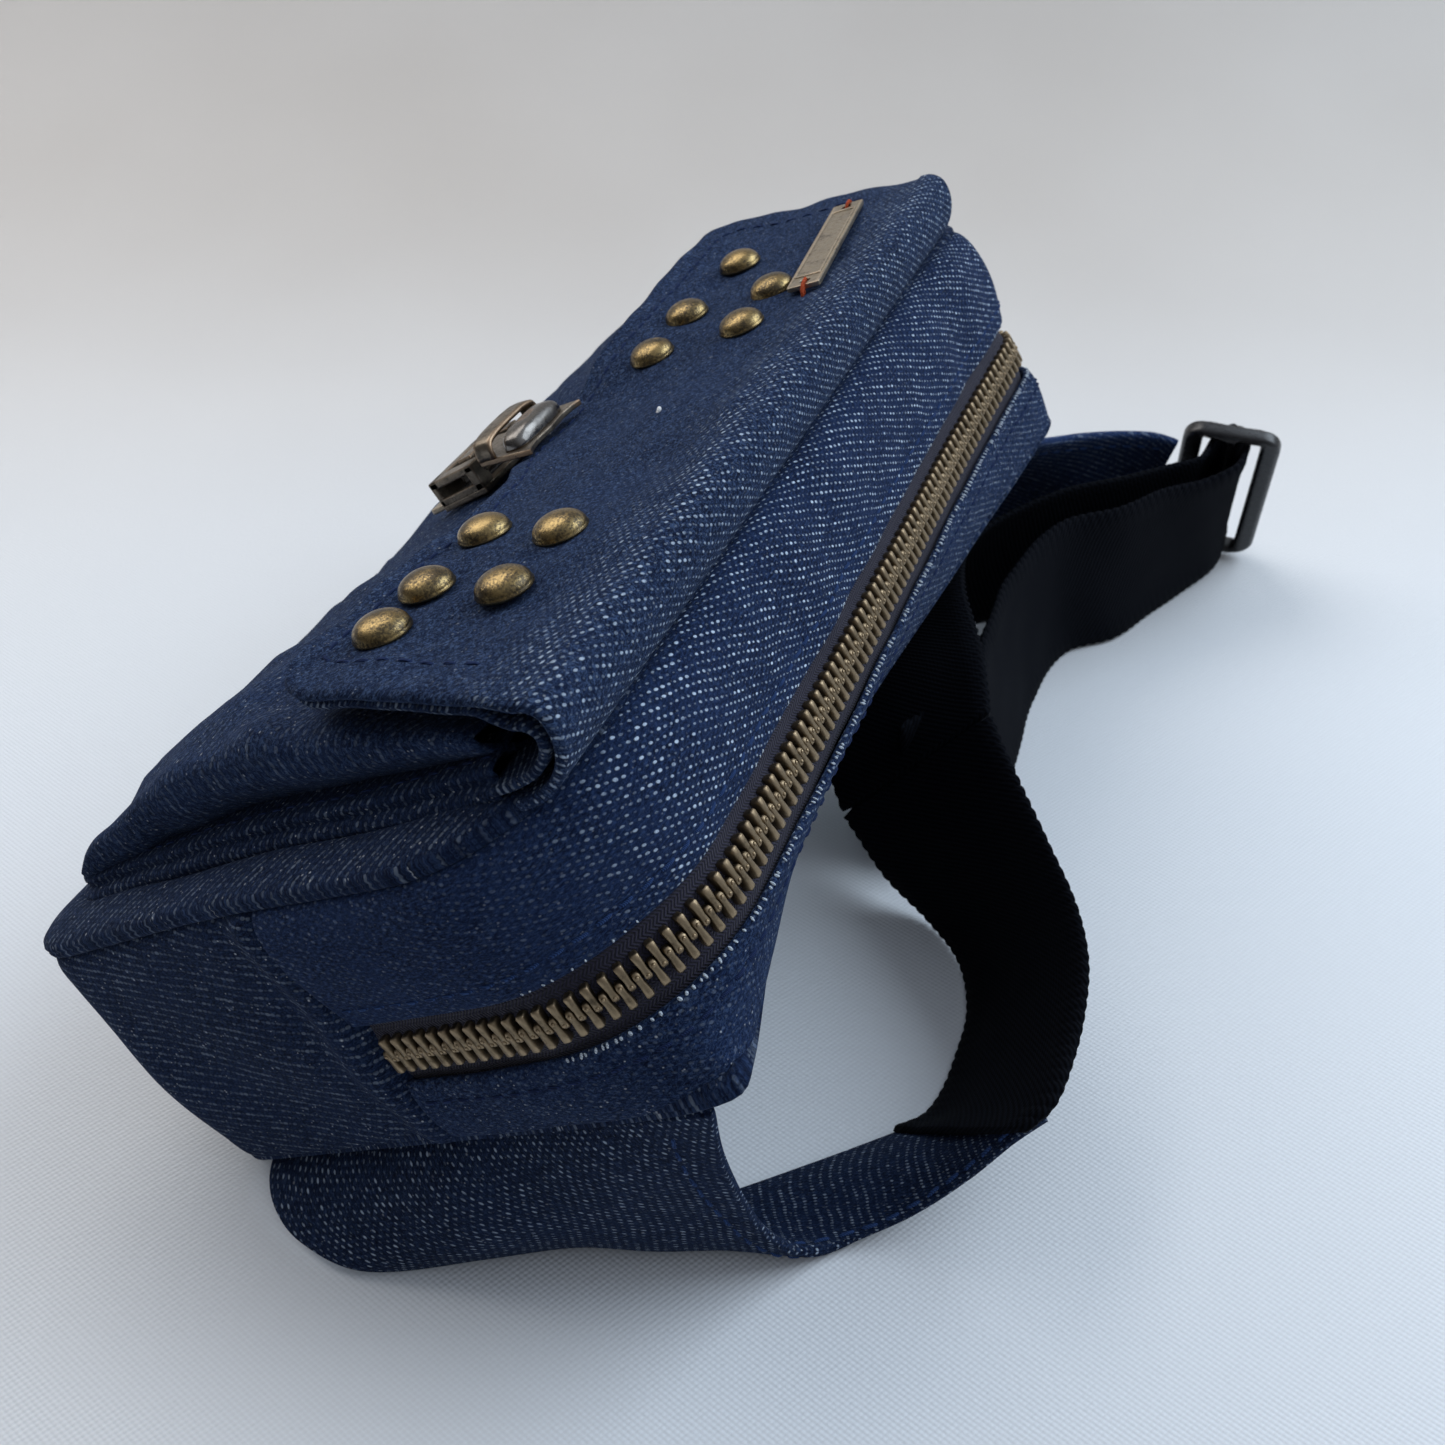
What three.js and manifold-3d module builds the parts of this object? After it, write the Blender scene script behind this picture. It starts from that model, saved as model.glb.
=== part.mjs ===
// Denim waist pack, resting on its back with the belt slack behind it.
// Units are millimetres, +Z is up. The origin lies on the floor, at the middle
// of the whole object's box.
//
// The bag itself is drawn upright (x along the width from the near end to the
// far end, y from the back panel to the front, z from the bottom to the zip)
// and then leaned back by TILT. The belt is drawn directly in the floor frame.
import * as THREE from "three";
import { mergeVertices } from "three/addons/utils/BufferGeometryUtils.js";
import Module from "manifold-3d";

const wasm = await Module();
wasm.setup();

// ---------------------------------------------------------------- dimensions
const W = 196.5; // width of the bag
const H = 114.6; // height of the bag, bottom to zip side
const D = 46; // depth of the main compartment
const TILT = 56; // degrees the upright bag is turned back about its bottom edge
const R_TOP = 27; // corner radius at the zip side, near end
const R_FAR = 12; // the same at the far end, which stays squarer
const R_BOTTOM = 12; // corner radius at the bottom
const PANEL = 3; // thickness of the front and back panels
const PANEL_OVERHANG = 0.6; // panels beyond the bag's outline
const BAND_END = 60.6; // height where the zip band meets the bottom gusset
const BAND_GAP = 0.4; // between the bands and their neighbours
const BAND_BACK = PANEL + BAND_GAP; // back edge of the bands
const BAND_FRONT = D - PANEL - BAND_GAP; // front edge of the bands
const ZIP_Y = 19; // zip line, measured from the back panel
const HINGE_Y = 54.5; // fold of the flap
const HINGE_Z = 115;
const FLAP_INSET = 8; // ends of the flap, in from the ends of the bag

const rad = THREE.MathUtils.degToRad;
const V = (x, y, z) => new THREE.Vector3(x, y, z);
const span = (middle, half) => [middle - half, middle + half];

// ------------------------------------------------------------------ materials
const material = (color, roughness, metalness) =>
  new THREE.MeshStandardMaterial({ color, roughness, metalness });
const fabric = (color, roughness) => material(color, roughness, 0);
const metal = (color, roughness) => material(color, roughness, 1);

const denim = () => fabric(0x1c2747, 0.92);
const denimInside = () => fabric(0x161e38, 0.95);
const padding = () => fabric(0x2a2a2e, 0.95);
const liningCloth = () => fabric(0x23252c, 0.8);
const zipTape = () => fabric(0x1a1830, 0.85);
const webbing = () => fabric(0x0a0b10, 0.9);
const thread = () => fabric(0xa8442a, 0.9);
const blackPlastic = () => material(0x0b0b0d, 0.5, 0);
const brass = () => metal(0x8b744c, 0.38);
const bronze = () => metal(0x5a4b3c, 0.35);
const springSteel = () => metal(0x777777, 0.3);
const plateSteel = () => metal(0x8a8a88, 0.4);

// ---------------------------------------------------------- geometry helpers
// Geometry from points and triangles, turned so that its faces look outwards.
function meshData(positions, triangles) {
  let volume = 0;
  for (let i = 0; i < triangles.length; i += 3) {
    const [a, b, c] = triangles.slice(i, i + 3).map((k) => positions[k]);
    volume += a.dot(b.clone().cross(c));
  }
  if (volume < 0) swapWinding(triangles);
  return indexedGeometry(positions.flatMap((p) => [p.x, p.y, p.z]), triangles);
}

function indexedGeometry(coordinates, triangles) {
  const geometry = new THREE.BufferGeometry();
  geometry.setAttribute("position", new THREE.Float32BufferAttribute(coordinates, 3));
  geometry.setIndex(triangles);
  geometry.computeVertexNormals();
  return geometry;
}

function swapWinding(triangles) {
  for (let i = 0; i < triangles.length; i += 3)
    [triangles[i + 1], triangles[i + 2]] = [triangles[i + 2], triangles[i + 1]];
}

// A closed slab around a grid of points, grid[i][j], between two offsets along
// the grid's normal (direction of i cross direction of j).
function sheet(grid, offsetA, offsetB) {
  const rows = grid.length;
  const columns = grid[0].length;
  const positions = [];
  const triangles = [];
  const normal = (i, j) => {
    const alongI = grid[Math.min(i + 1, rows - 1)][j].clone().sub(grid[Math.max(i - 1, 0)][j]);
    const alongJ = grid[i][Math.min(j + 1, columns - 1)]
      .clone()
      .sub(grid[i][Math.max(j - 1, 0)]);
    return alongI.cross(alongJ).normalize();
  };
  for (const offset of [offsetA, offsetB])
    for (let i = 0; i < rows; i++)
      for (let j = 0; j < columns; j++)
        positions.push(grid[i][j].clone().addScaledVector(normal(i, j), offset));

  const id = (layer, i, j) => layer * rows * columns + i * columns + j;
  for (let i = 0; i < rows - 1; i++)
    for (let j = 0; j < columns - 1; j++) {
      triangles.push(id(1, i, j), id(1, i + 1, j), id(1, i + 1, j + 1));
      triangles.push(id(1, i, j), id(1, i + 1, j + 1), id(1, i, j + 1));
      triangles.push(id(0, i, j), id(0, i + 1, j + 1), id(0, i + 1, j));
      triangles.push(id(0, i, j), id(0, i, j + 1), id(0, i + 1, j + 1));
    }

  const rim = [];
  for (let i = 0; i < rows - 1; i++) rim.push([i, 0]);
  for (let j = 0; j < columns - 1; j++) rim.push([rows - 1, j]);
  for (let i = rows - 1; i > 0; i--) rim.push([i, columns - 1]);
  for (let j = columns - 1; j > 0; j--) rim.push([0, j]);
  rim.forEach(([i, j], k) => {
    const [nextI, nextJ] = rim[(k + 1) % rim.length];
    triangles.push(id(0, i, j), id(0, nextI, nextJ), id(1, nextI, nextJ));
    triangles.push(id(0, i, j), id(1, nextI, nextJ), id(1, i, j));
  });
  return meshData(positions, triangles);
}

// Smooth row of points through the given ones.
const smooth = (points, count) =>
  new THREE.CatmullRomCurve3(points.map((p) => V(...p)), false, "centripetal").getPoints(count);

// A strip between two smoothed edges, given as pairs [bottom edge, top edge].
function ribbon(pairs, { count, across, thickness }) {
  const bottom = smooth(pairs.map((pair) => pair[0]), count);
  const top = smooth(pairs.map((pair) => pair[1]), count);
  const grid = bottom.map((p, i) =>
    Array.from({ length: across + 1 }, (_, j) => p.clone().lerp(top[i], j / across)),
  );
  return sheet(grid, -thickness / 2, thickness / 2);
}

// A station of a band round the bag: a point and its outward normal in x, z.
const station = (x, z, nx, nz) => ({ x, z, nx, nz });

function arcStation(centreX, centreZ, radius, angle) {
  const [nx, nz] = [Math.cos(angle), Math.sin(angle)];
  return station(centreX + radius * nx, centreZ + radius * nz, nx, nz);
}

const arc = (centreX, centreZ, radius, fromDeg, toDeg, steps) =>
  Array.from({ length: steps + 1 }, (_, k) =>
    arcStation(centreX, centreZ, radius, rad(fromDeg + ((toDeg - fromDeg) * k) / steps)),
  );

// A rectangular band swept along stations, from y0 to y1 and between two
// outward offsets. y1 may be a function of the station.
function band(path, y0, y1, inner, outer) {
  const positions = [];
  const triangles = [];
  for (const s of path) {
    const yEnd = typeof y1 === "function" ? y1(s) : y1;
    for (const [offset, y] of [[inner, y0], [outer, y0], [outer, yEnd], [inner, yEnd]])
      positions.push(V(s.x + s.nx * offset, y, s.z + s.nz * offset));
  }
  for (let i = 0; i < path.length - 1; i++)
    for (let k = 0; k < 4; k++) {
      const a = i * 4 + k;
      const b = i * 4 + ((k + 1) % 4);
      triangles.push(a, b, b + 4, a, b + 4, a + 4);
    }
  const last = (path.length - 1) * 4;
  triangles.push(0, 3, 2, 0, 2, 1);
  triangles.push(last, last + 1, last + 2, last, last + 2, last + 3);
  return meshData(positions, triangles);
}

// Linear interpolation in a table of [position, value], held at both ends.
const interpolator = (table) => (at) => {
  if (at <= table[0][0]) return table[0][1];
  for (let i = 1; i < table.length; i++)
    if (at <= table[i][0]) {
      const [a, b] = [table[i - 1], table[i]];
      return a[1] + ((b[1] - a[1]) * (at - a[0])) / (b[0] - a[0]);
    }
  return table[table.length - 1][1];
};

function toSolid(geometry) {
  const bare = geometry.clone();
  bare.deleteAttribute("normal");
  bare.deleteAttribute("uv");
  const merged = mergeVertices(bare, 1e-4);
  return new wasm.Manifold(
    new wasm.Mesh({
      numProp: 3,
      vertProperties: new Float32Array(merged.attributes.position.array),
      triVerts: new Uint32Array(merged.index.array),
    }),
  );
}

function toGeometry(solid) {
  const { vertProperties, numProp, triVerts } = solid.getMesh();
  const coordinates = [];
  for (let i = 0; i < vertProperties.length; i += numProp)
    coordinates.push(...vertProperties.slice(i, i + 3));
  return indexedGeometry(coordinates, [...triVerts]);
}

const cut = (base, ...tools) =>
  toGeometry(tools.reduce((solid, tool) => solid.subtract(toSolid(tool)), toSolid(base)));
const join = (base, ...parts) =>
  toGeometry(parts.reduce((solid, part) => solid.add(toSolid(part)), toSolid(base)));

const box = ([x0, x1], [y0, y1], [z0, z1]) =>
  new THREE.BoxGeometry(x1 - x0, y1 - y0, z1 - z0).translate(
    (x0 + x1) / 2,
    (y0 + y1) / 2,
    (z0 + z1) / 2,
  );

const vectors = (points) => points.map(([x, y]) => new THREE.Vector2(x, y));
const extrude = (shape, depth, curveSegments) =>
  new THREE.ExtrudeGeometry(shape, { depth, bevelEnabled: false, curveSegments });
const lathe = (profile, segments) => new THREE.LatheGeometry(vectors(profile), segments);

// Rectangle with rounded corners; the radii run anticlockwise from (x0, y0).
function roundedRectangle([x0, x1], [y0, y1], [r00, r10, r11, r01]) {
  const shape = new THREE.Shape();
  shape.moveTo(x0 + r00, y0);
  shape.lineTo(x1 - r10, y0);
  shape.absarc(x1 - r10, y0 + r10, r10, -Math.PI / 2, 0, false);
  shape.absarc(x1 - r11, y1 - r11, r11, 0, Math.PI / 2, false);
  shape.absarc(x0 + r01, y1 - r01, r01, Math.PI / 2, Math.PI, false);
  shape.absarc(x0 + r00, y0 + r00, r00, Math.PI, 1.5 * Math.PI, false);
  return shape;
}

// The bag's face outline, grown by `grow` and extruded from y0 to y1.
function facePlate(grow, y0, y1, curveSegments) {
  const radii = [R_BOTTOM, R_BOTTOM, R_FAR, R_TOP].map((r) => r + grow);
  const outline = roundedRectangle([-grow, W + grow], [-grow, H + grow], radii);
  return extrude(outline, y1 - y0, curveSegments).rotateX(Math.PI / 2).translate(0, y1, 0);
}

// --------------------------------------------------------------------- groups
const pack = new THREE.Group();
const bag = new THREE.Group(); // upright frame, leaned back
bag.position.set(-W / 2, 0, 0);
bag.rotation.x = rad(TILT);
const belt = new THREE.Group(); // floor frame, x from the bag's near end
belt.position.set(-W / 2, 0, 0);
pack.add(bag, belt);

function add(parent, name, geometry, meshMaterial) {
  const mesh = new THREE.Mesh(geometry, meshMaterial);
  mesh.name = name;
  parent.add(mesh);
  return mesh;
}

// ----------------------------------------------------------- main compartment
const bottomPath = [
  station(0, BAND_END - BAND_GAP, -1, 0),
  ...arc(R_BOTTOM, R_BOTTOM, R_BOTTOM, 180, 270, 5),
  ...arc(W - R_BOTTOM, R_BOTTOM, R_BOTTOM, 270, 360, 5),
  station(W, BAND_END - BAND_GAP, 1, 0),
];
const topPath = [
  station(0, BAND_END, -1, 0),
  ...arc(R_TOP, H - R_TOP, R_TOP, 180, 90, 8),
  ...arc(W - R_FAR, H - R_FAR, R_FAR, 90, 0, 6),
  station(W, BAND_END, 1, 0),
];

add(bag, "back_panel", facePlate(PANEL_OVERHANG, 0, PANEL, 6), denim());
add(bag, "back_pad", facePlate(-4.5, PANEL + 0.4, PANEL + 2.9, 4), padding());
add(bag, "front_panel", facePlate(PANEL_OVERHANG, D - PANEL, D, 6), denim());
add(bag, "bottom_gusset", band(bottomPath, BAND_BACK, BAND_FRONT, -1.2, 0.6), denim());

// ------------------------------------------------------------------------ zip
const ZIP_PANEL = { inner: -1, outer: 0.8 }; // offsets from the bag's outline
const TAPE = { inner: -2.2, thickness: 0.8 };
const TAPE_GAP = 1.1; // from the zip line to each tape

for (const [name, y0, y1] of [
  ["zip_panel_back", BAND_BACK, 12],
  ["zip_panel_front", 26, BAND_FRONT],
])
  add(bag, name, band(topPath, y0, y1, ZIP_PANEL.inner, ZIP_PANEL.outer), denim());

for (const [name, y0, y1] of [
  ["zip_tape_back", 7, ZIP_Y - TAPE_GAP],
  ["zip_tape_front", ZIP_Y + TAPE_GAP, 31],
])
  add(bag, name, band(topPath, y0, y1, TAPE.inner, TAPE.inner + TAPE.thickness), zipTape());

// Lengths along the zip band, in order from its near end
const STRAIGHT = H - R_TOP - BAND_END;
const QUARTER = (Math.PI / 2) * R_TOP;
const TOP = W - R_TOP - R_FAR;
const QUARTER_FAR = (Math.PI / 2) * R_FAR;
const STRAIGHT_FAR = H - R_FAR - BAND_END;
const ZIP_LENGTH = STRAIGHT + QUARTER + TOP + QUARTER_FAR + STRAIGHT_FAR;

// Station at a distance along the zip band, from its near end.
function zipStation(distance) {
  let s = distance;
  if (s < STRAIGHT) return station(0, BAND_END + s, -1, 0);
  s -= STRAIGHT;
  if (s < QUARTER) return arcStation(R_TOP, H - R_TOP, R_TOP, Math.PI - s / R_TOP);
  s -= QUARTER;
  if (s < TOP) return station(R_TOP + s, H, 0, 1);
  s -= TOP;
  if (s < QUARTER_FAR)
    return arcStation(W - R_FAR, H - R_FAR, R_FAR, Math.PI / 2 - s / R_FAR);
  return station(W, H - R_FAR - (s - QUARTER_FAR), 1, 0);
}

const CHAIN = {
  width: 5.8, // of the closed chain
  bead: 1.3, // width of the bead the teeth stand on
  reach: 1.25, // of the tooth tips past the zip line
  inner: -1, // offsets from the bag's outline
  outer: 0.9,
  start: 1, // distances along the zip band
  end: ZIP_LENGTH - 9,
};
const TOOTH = {
  pitch: 2.54,
  thickness: 1.0, // along the zip
  first: 0.6, // from the start of the chain to the first tooth of the back row
  endMargin: 0.3, // least bead left past the last tooth
};

// One row of zip teeth: a bead with a tooth at every pitch, all between the
// same two outward offsets. side is -1 for the back row, 1 for the front row.
function teethRow(side, firstTooth) {
  const cuts = [CHAIN.start];
  const hasTooth = []; // for the stretch after each cut
  for (
    let s = CHAIN.start + firstTooth;
    s + TOOTH.thickness < CHAIN.end - TOOTH.endMargin;
    s += TOOTH.pitch
  ) {
    hasTooth.push(false, true);
    cuts.push(s, s + TOOTH.thickness);
  }
  hasTooth.push(false);
  cuts.push(CHAIN.end);

  // at each cut: bead edge, tooth root and tooth tip, at both offsets
  const rowYs = [
    ZIP_Y + (side * CHAIN.width) / 2,
    ZIP_Y + side * (CHAIN.width / 2 - CHAIN.bead),
    ZIP_Y - side * CHAIN.reach,
  ];
  const positions = [];
  const triangles = [];
  for (const s of cuts) {
    const at = zipStation(s);
    for (const offset of [CHAIN.inner, CHAIN.outer])
      for (const y of rowYs) positions.push(V(at.x + at.nx * offset, y, at.z + at.nz * offset));
  }
  const id = (i, outer, y) => i * 6 + outer * 3 + y;
  const quad = (a, b, c, d) => triangles.push(a, b, c, a, c, d);
  hasTooth.forEach((isTooth, i) => {
    const j = i + 1;
    const edge = isTooth ? 2 : 1;
    for (let y = 0; y < edge; y++) {
      quad(id(i, 1, y), id(j, 1, y), id(j, 1, y + 1), id(i, 1, y + 1));
      quad(id(i, 0, y), id(i, 0, y + 1), id(j, 0, y + 1), id(j, 0, y));
    }
    quad(id(i, 0, 0), id(j, 0, 0), id(j, 1, 0), id(i, 1, 0));
    quad(id(i, 0, edge), id(i, 1, edge), id(j, 1, edge), id(j, 0, edge));
    if (isTooth) {
      quad(id(i, 0, 1), id(i, 1, 1), id(i, 1, 2), id(i, 0, 2));
      quad(id(j, 0, 1), id(j, 0, 2), id(j, 1, 2), id(j, 1, 1));
    }
  });
  const last = cuts.length - 1;
  quad(id(0, 0, 0), id(0, 1, 0), id(0, 1, 1), id(0, 0, 1));
  quad(id(last, 0, 0), id(last, 0, 1), id(last, 1, 1), id(last, 1, 0));

  // the two end cuts have no tooth, so their tip corners are dropped
  const used = [...new Set(triangles)].sort((a, b) => a - b);
  const newIndex = new Map(used.map((old, k) => [old, k]));
  return meshData(
    used.map((k) => positions[k]),
    triangles.map((k) => newIndex.get(k)),
  );
}
add(bag, "zip_teeth_back", teethRow(-1, TOOTH.first), brass());
add(bag, "zip_teeth_front", teethRow(1, TOOTH.first + TOOTH.pitch / 2), brass());

// Lining bag: a thin box shell, open along the zip.
function lining() {
  const wall = 0.9;
  const inset = 3;
  const y0 = PANEL + 3.3;
  const y1 = D - PANEL - 0.5;
  return cut(
    facePlate(-inset, y0, y1, 4),
    facePlate(-inset - wall, y0 + wall, y1 - wall, 4),
    box([R_TOP + 2, W - R_FAR - 2], span(ZIP_Y, 2), [H - 8, H + 5]),
  );
}
add(bag, "lining", lining(), liningCloth());

// Zip slider, parked near the far end of the zip, on the bag's far end face
const SLIDER_Z = BAND_END + 8.2;

function zipSlider() {
  const halfWidth = 4.6;
  const cheekInside = 3.4;
  const cheekX = [W - 0.9, W + 1.5];
  const cheekZ = span(SLIDER_Z, 4.5);
  const postX = [W + 2.4, W + 5.8];
  const bridgeY = span(ZIP_Y, 0.9);
  const postNear = 2.9; // faces of the posts, from the slider's middle
  const postFar = 4.3;
  return join(
    box([W + 1.3, W + 2.6], span(ZIP_Y, halfWidth), span(SLIDER_Z, 5.5)),
    box(cheekX, [ZIP_Y - halfWidth, ZIP_Y - cheekInside], cheekZ),
    box(cheekX, [ZIP_Y + cheekInside, ZIP_Y + halfWidth], cheekZ),
    box(postX, bridgeY, [SLIDER_Z + postNear, SLIDER_Z + postFar]),
    box(postX, bridgeY, [SLIDER_Z - postFar, SLIDER_Z - postNear]),
    box([W + 5, W + 6.2], bridgeY, span(SLIDER_Z, postFar)),
  );
}
add(bag, "zip_slider", zipSlider(), brass());

// Flat tab hanging from the slider's bridge, drawn in y, z with its depth in x.
function zipPullTab() {
  const top = { halfWidth: 3, z: 0.9 };
  const tip = { radius: 2.6, z: -20 };
  const eye = { halfWidth: 1.6, top: -0.9, bottom: -6.4 };
  const shape = new THREE.Shape();
  shape.moveTo(-top.halfWidth, top.z);
  shape.lineTo(top.halfWidth, top.z);
  shape.lineTo(tip.radius, tip.z);
  shape.absarc(0, tip.z, tip.radius, 0, -Math.PI, true);
  shape.lineTo(-top.halfWidth, top.z);
  const eyeOutline = [
    [-eye.halfWidth, eye.top], [-eye.halfWidth, eye.bottom],
    [eye.halfWidth, eye.bottom], [eye.halfWidth, eye.top],
  ];
  shape.holes.push(new THREE.Path(vectors(eyeOutline)));
  const toEndFace = new THREE.Matrix4().makeBasis(V(0, 1, 0), V(0, 0, 1), V(1, 0, 0));
  return extrude(shape, 1.1, 6).applyMatrix4(toEndFace).translate(W + 3.25, ZIP_Y, SLIDER_Z);
}
add(bag, "zip_pull_tab", zipPullTab(), brass());

// ------------------------------------------------ bellows pocket on the front
const POCKET = { x0: 10, x1: W - 10, z0: 7, z1: 105, corner: 8 };
const BULGE_SPAN = 110; // height of the half wave that lifts the pocket's face

// [z, y of the pocket's face before the lift]
const pocketBase = interpolator([
  [POCKET.z0, 55.6], [16, 58.4], [30, 61.2], [46, 63.2], [58, 64],
  [68, 63.1], [80, 60.8], [92, 58.9], [POCKET.z1, 56.9],
]);
// [x, greatest lift of the face]
const pocketLift = interpolator([
  [POCKET.x0, 4.4], [50, 2.6], [98, 0], [140, 1.2], [POCKET.x1, 2.2],
]);
const pocketY = (x, z) =>
  pocketBase(z) + pocketLift(x) * Math.sin((Math.PI * (z - POCKET.z0)) / BULGE_SPAN);

function pocketFront() {
  const zs = [POCKET.z0, 12, 20, 32, 46, 62, 78, 92, POCKET.z1];
  const xs = [POCKET.x0, 22, 40, 62, 82, 98, 118, 140, 160, 176, POCKET.x1];
  return sheet(zs.map((z) => xs.map((x) => V(x, pocketY(x, z), z))), -1.6, 0);
}

// Down the near side, along the bottom and up the far side
const { x0: pocketX0, x1: pocketX1, z0: pocketZ0, z1: pocketZ1, corner } = POCKET;
const pocketPath = [
  ...[pocketZ1, 80, 55, 30].map((z) => station(pocketX0, z, -1, 0)),
  ...arc(pocketX0 + corner, pocketZ0 + corner, corner, 180, 270, 3),
  ...[60, 98, 140].map((x) => station(x, pocketZ0, 0, -1)),
  ...arc(pocketX1 - corner, pocketZ0 + corner, corner, 270, 360, 3),
  ...[30, 55, 80, pocketZ1].map((z) => station(pocketX1, z, 1, 0)),
];
const gussetFront = (s) => pocketY(s.x, s.z) - 3.2;

add(bag, "pocket_front", pocketFront(), denim());
add(bag, "pocket_gusset", band(pocketPath, D + 0.4, gussetFront, -1.4, 0), denimInside());
add(bag, "pocket_binding", band(pocketPath, D + 0.35, D + 2.4, 0.4, 1.9), denim());

// ----------------------------------------------------------------------- flap
const FLAP_Z0 = 119.8; // reference height of the flap surface
const FLAP_Y0 = 60.3; // y of the surface at that height
const FLAP_TOP_Z = 113; // where the flap leaves its fold
const CURL_START = 33; // below FLAP_Z0, where the curl sets in
const FLAP_COLUMNS = 18;

// [x, rise of y per unit of height downwards]
const slope = interpolator([
  [8, 0.31], [50, 0.26], [78, 0.2], [90, 0.14],
  [104, 0.14], [118, 0.18], [140, 0.21], [188, 0.24],
]);
// [x, quadratic rise of y towards the free edge]
const curl = interpolator([
  [8, 0.012], [20, 0.028], [60, 0.03], [76, 0.02], [88, 0],
  [108, 0], [126, 0.022], [160, 0.028], [188, 0.01],
]);
// [x, z of the free edge]
const freeEdge = interpolator([
  [8, 78], [30, 75.5], [60, 75], [80, 72.5], [90, 69.5],
  [104, 69.5], [114, 72], [132, 75], [150, 75], [188, 75.5],
]);
const flapY = (x, z) =>
  FLAP_Y0 + slope(x) * (FLAP_Z0 - z) + curl(x) * Math.max(0, FLAP_Z0 - z - CURL_START) ** 2;

// [y, z] of a point round the fold, at an angle in degrees from +y
const aroundHinge = (radius, angle) => [
  HINGE_Y + radius * Math.cos(rad(angle)),
  HINGE_Z + radius * Math.sin(rad(angle)),
];

// Fixed strip from the front panel up and over the fold.
function flapRoot() {
  const profile = [
    [D + 1.1, 105.7],
    [D + 1.4, 111],
    ...[178, 150, 120, 90, 60, 35].map((angle) => aroundHinge(3.8, angle)),
  ];
  const xs = [FLAP_INSET, 60, 98, 140, W - FLAP_INSET];
  return sheet(profile.map(([y, z]) => xs.map((x) => V(x, y, z))), -0.5, 0.5);
}

const flapRow = (x0, x1, pointAt) =>
  Array.from({ length: FLAP_COLUMNS + 1 }, (_, j) =>
    pointAt(x0 + ((x1 - x0) * j) / FLAP_COLUMNS),
  );

const flapFoldRows = () =>
  [30, 14].map((angle) => {
    const [y, z] = aroundHinge(5.7, angle);
    return flapRow(FLAP_INSET, W - FLAP_INSET, (x) => V(x, y, z));
  });

// Rows from the fold to the free edge, narrowing and rounded at the corners.
function flapBodyRows(inset) {
  const cornerStart = 0.75; // fraction of the way down
  const cornerSize = 8;
  return [0, 0.3, 0.55, 0.75, 0.88, 0.96, 1].map((down) => {
    const q = Math.max(0, (down - cornerStart) / (1 - cornerStart));
    // 0.999 keeps the last row just short of the full corner
    const round = cornerSize * (1 - Math.sqrt(1 - q * q * 0.999));
    const x0 = FLAP_INSET + inset + 4 * down + round;
    const x1 = W - FLAP_INSET - inset - 6 * down - round;
    return flapRow(x0, x1, (x) => {
      const z = FLAP_TOP_Z - down * (FLAP_TOP_Z - freeEdge(x) - inset);
      return V(x, flapY(x, z) - 0.4, z);
    });
  });
}

add(bag, "flap_root", flapRoot(), denim());
// the normal of these grids looks into the bag, so inner offsets are positive
add(bag, "flap_outer", sheet([...flapFoldRows(), ...flapBodyRows(0)], 1, -0.4), denim());
add(bag, "flap_lining", sheet(flapBodyRows(0.6), 2.8, 1.35), denimInside());

// Point at a height above the flap's surface, with the outward normal there.
function onFlap(x, z, height) {
  const half = 0.5; // half the distance the slopes are taken over
  const alongX = V(2 * half, flapY(x + half, z) - flapY(x - half, z), 0);
  const alongZ = V(0, flapY(x, z + half) - flapY(x, z - half), 2 * half);
  const normal = alongZ.cross(alongX).normalize();
  return { point: V(x, flapY(x, z), z).addScaledVector(normal, height), normal };
}

// A local frame on the flap: x along the width, y outwards, z towards the
// hinge, turned about y by `turn`.
function flapFrame(x, z, height, turn = 0) {
  const { point, normal } = onFlap(x, z, height);
  const along = V(1, 0, 0)
    .addScaledVector(normal, -normal.x)
    .normalize()
    .applyAxisAngle(normal, turn);
  const upwards = normal.clone().cross(along).negate();
  return new THREE.Matrix4().makeBasis(along, normal, upwards).setPosition(point);
}

// -------------------------------------------------- round studs on the flap
const STUD = { radius: 4.1, height: 2.5, rim: 0.35, lift: 0.75 };
// [x, z]
const studs = [
  [24.5, 88.5], [36, 88.2], [52.5, 87.6], [34, 102], [49.5, 102.4],
  [119, 84.5], [134.5, 85.5], [156, 88.6], [122, 101.7], [137, 102.3],
];

function studGeometry() {
  const dome = [20, 42, 64].map((angle) => [
    STUD.radius * Math.cos(rad(angle)),
    STUD.rim + (STUD.height - STUD.rim) * Math.sin(rad(angle)),
  ]);
  const rim = [[0, 0], [STUD.radius, 0], [STUD.radius, STUD.rim]];
  return lathe([...rim, ...dome, [0, STUD.height]], 12);
}
studs.forEach(([x, z], k) => {
  const { point, normal } = onFlap(x, z, STUD.lift);
  const stud = add(bag, `stud_${k + 1}`, studGeometry(), brass());
  stud.position.copy(point);
  stud.quaternion.setFromUnitVectors(V(0, 1, 0), normal);
});

// ------------------------- metal name plate, sewn on through a hole at each end
const PLATE = { length: 44, width: 6.2, thickness: 0.9, holeRadius: 0.9, holeInset: 2.2 };
const plateFrame = flapFrame(153.2, 108.2, 0.85, rad(6.8));
const plateHoles = [-1, 1].map((side) => side * (PLATE.length / 2 - PLATE.holeInset));

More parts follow.
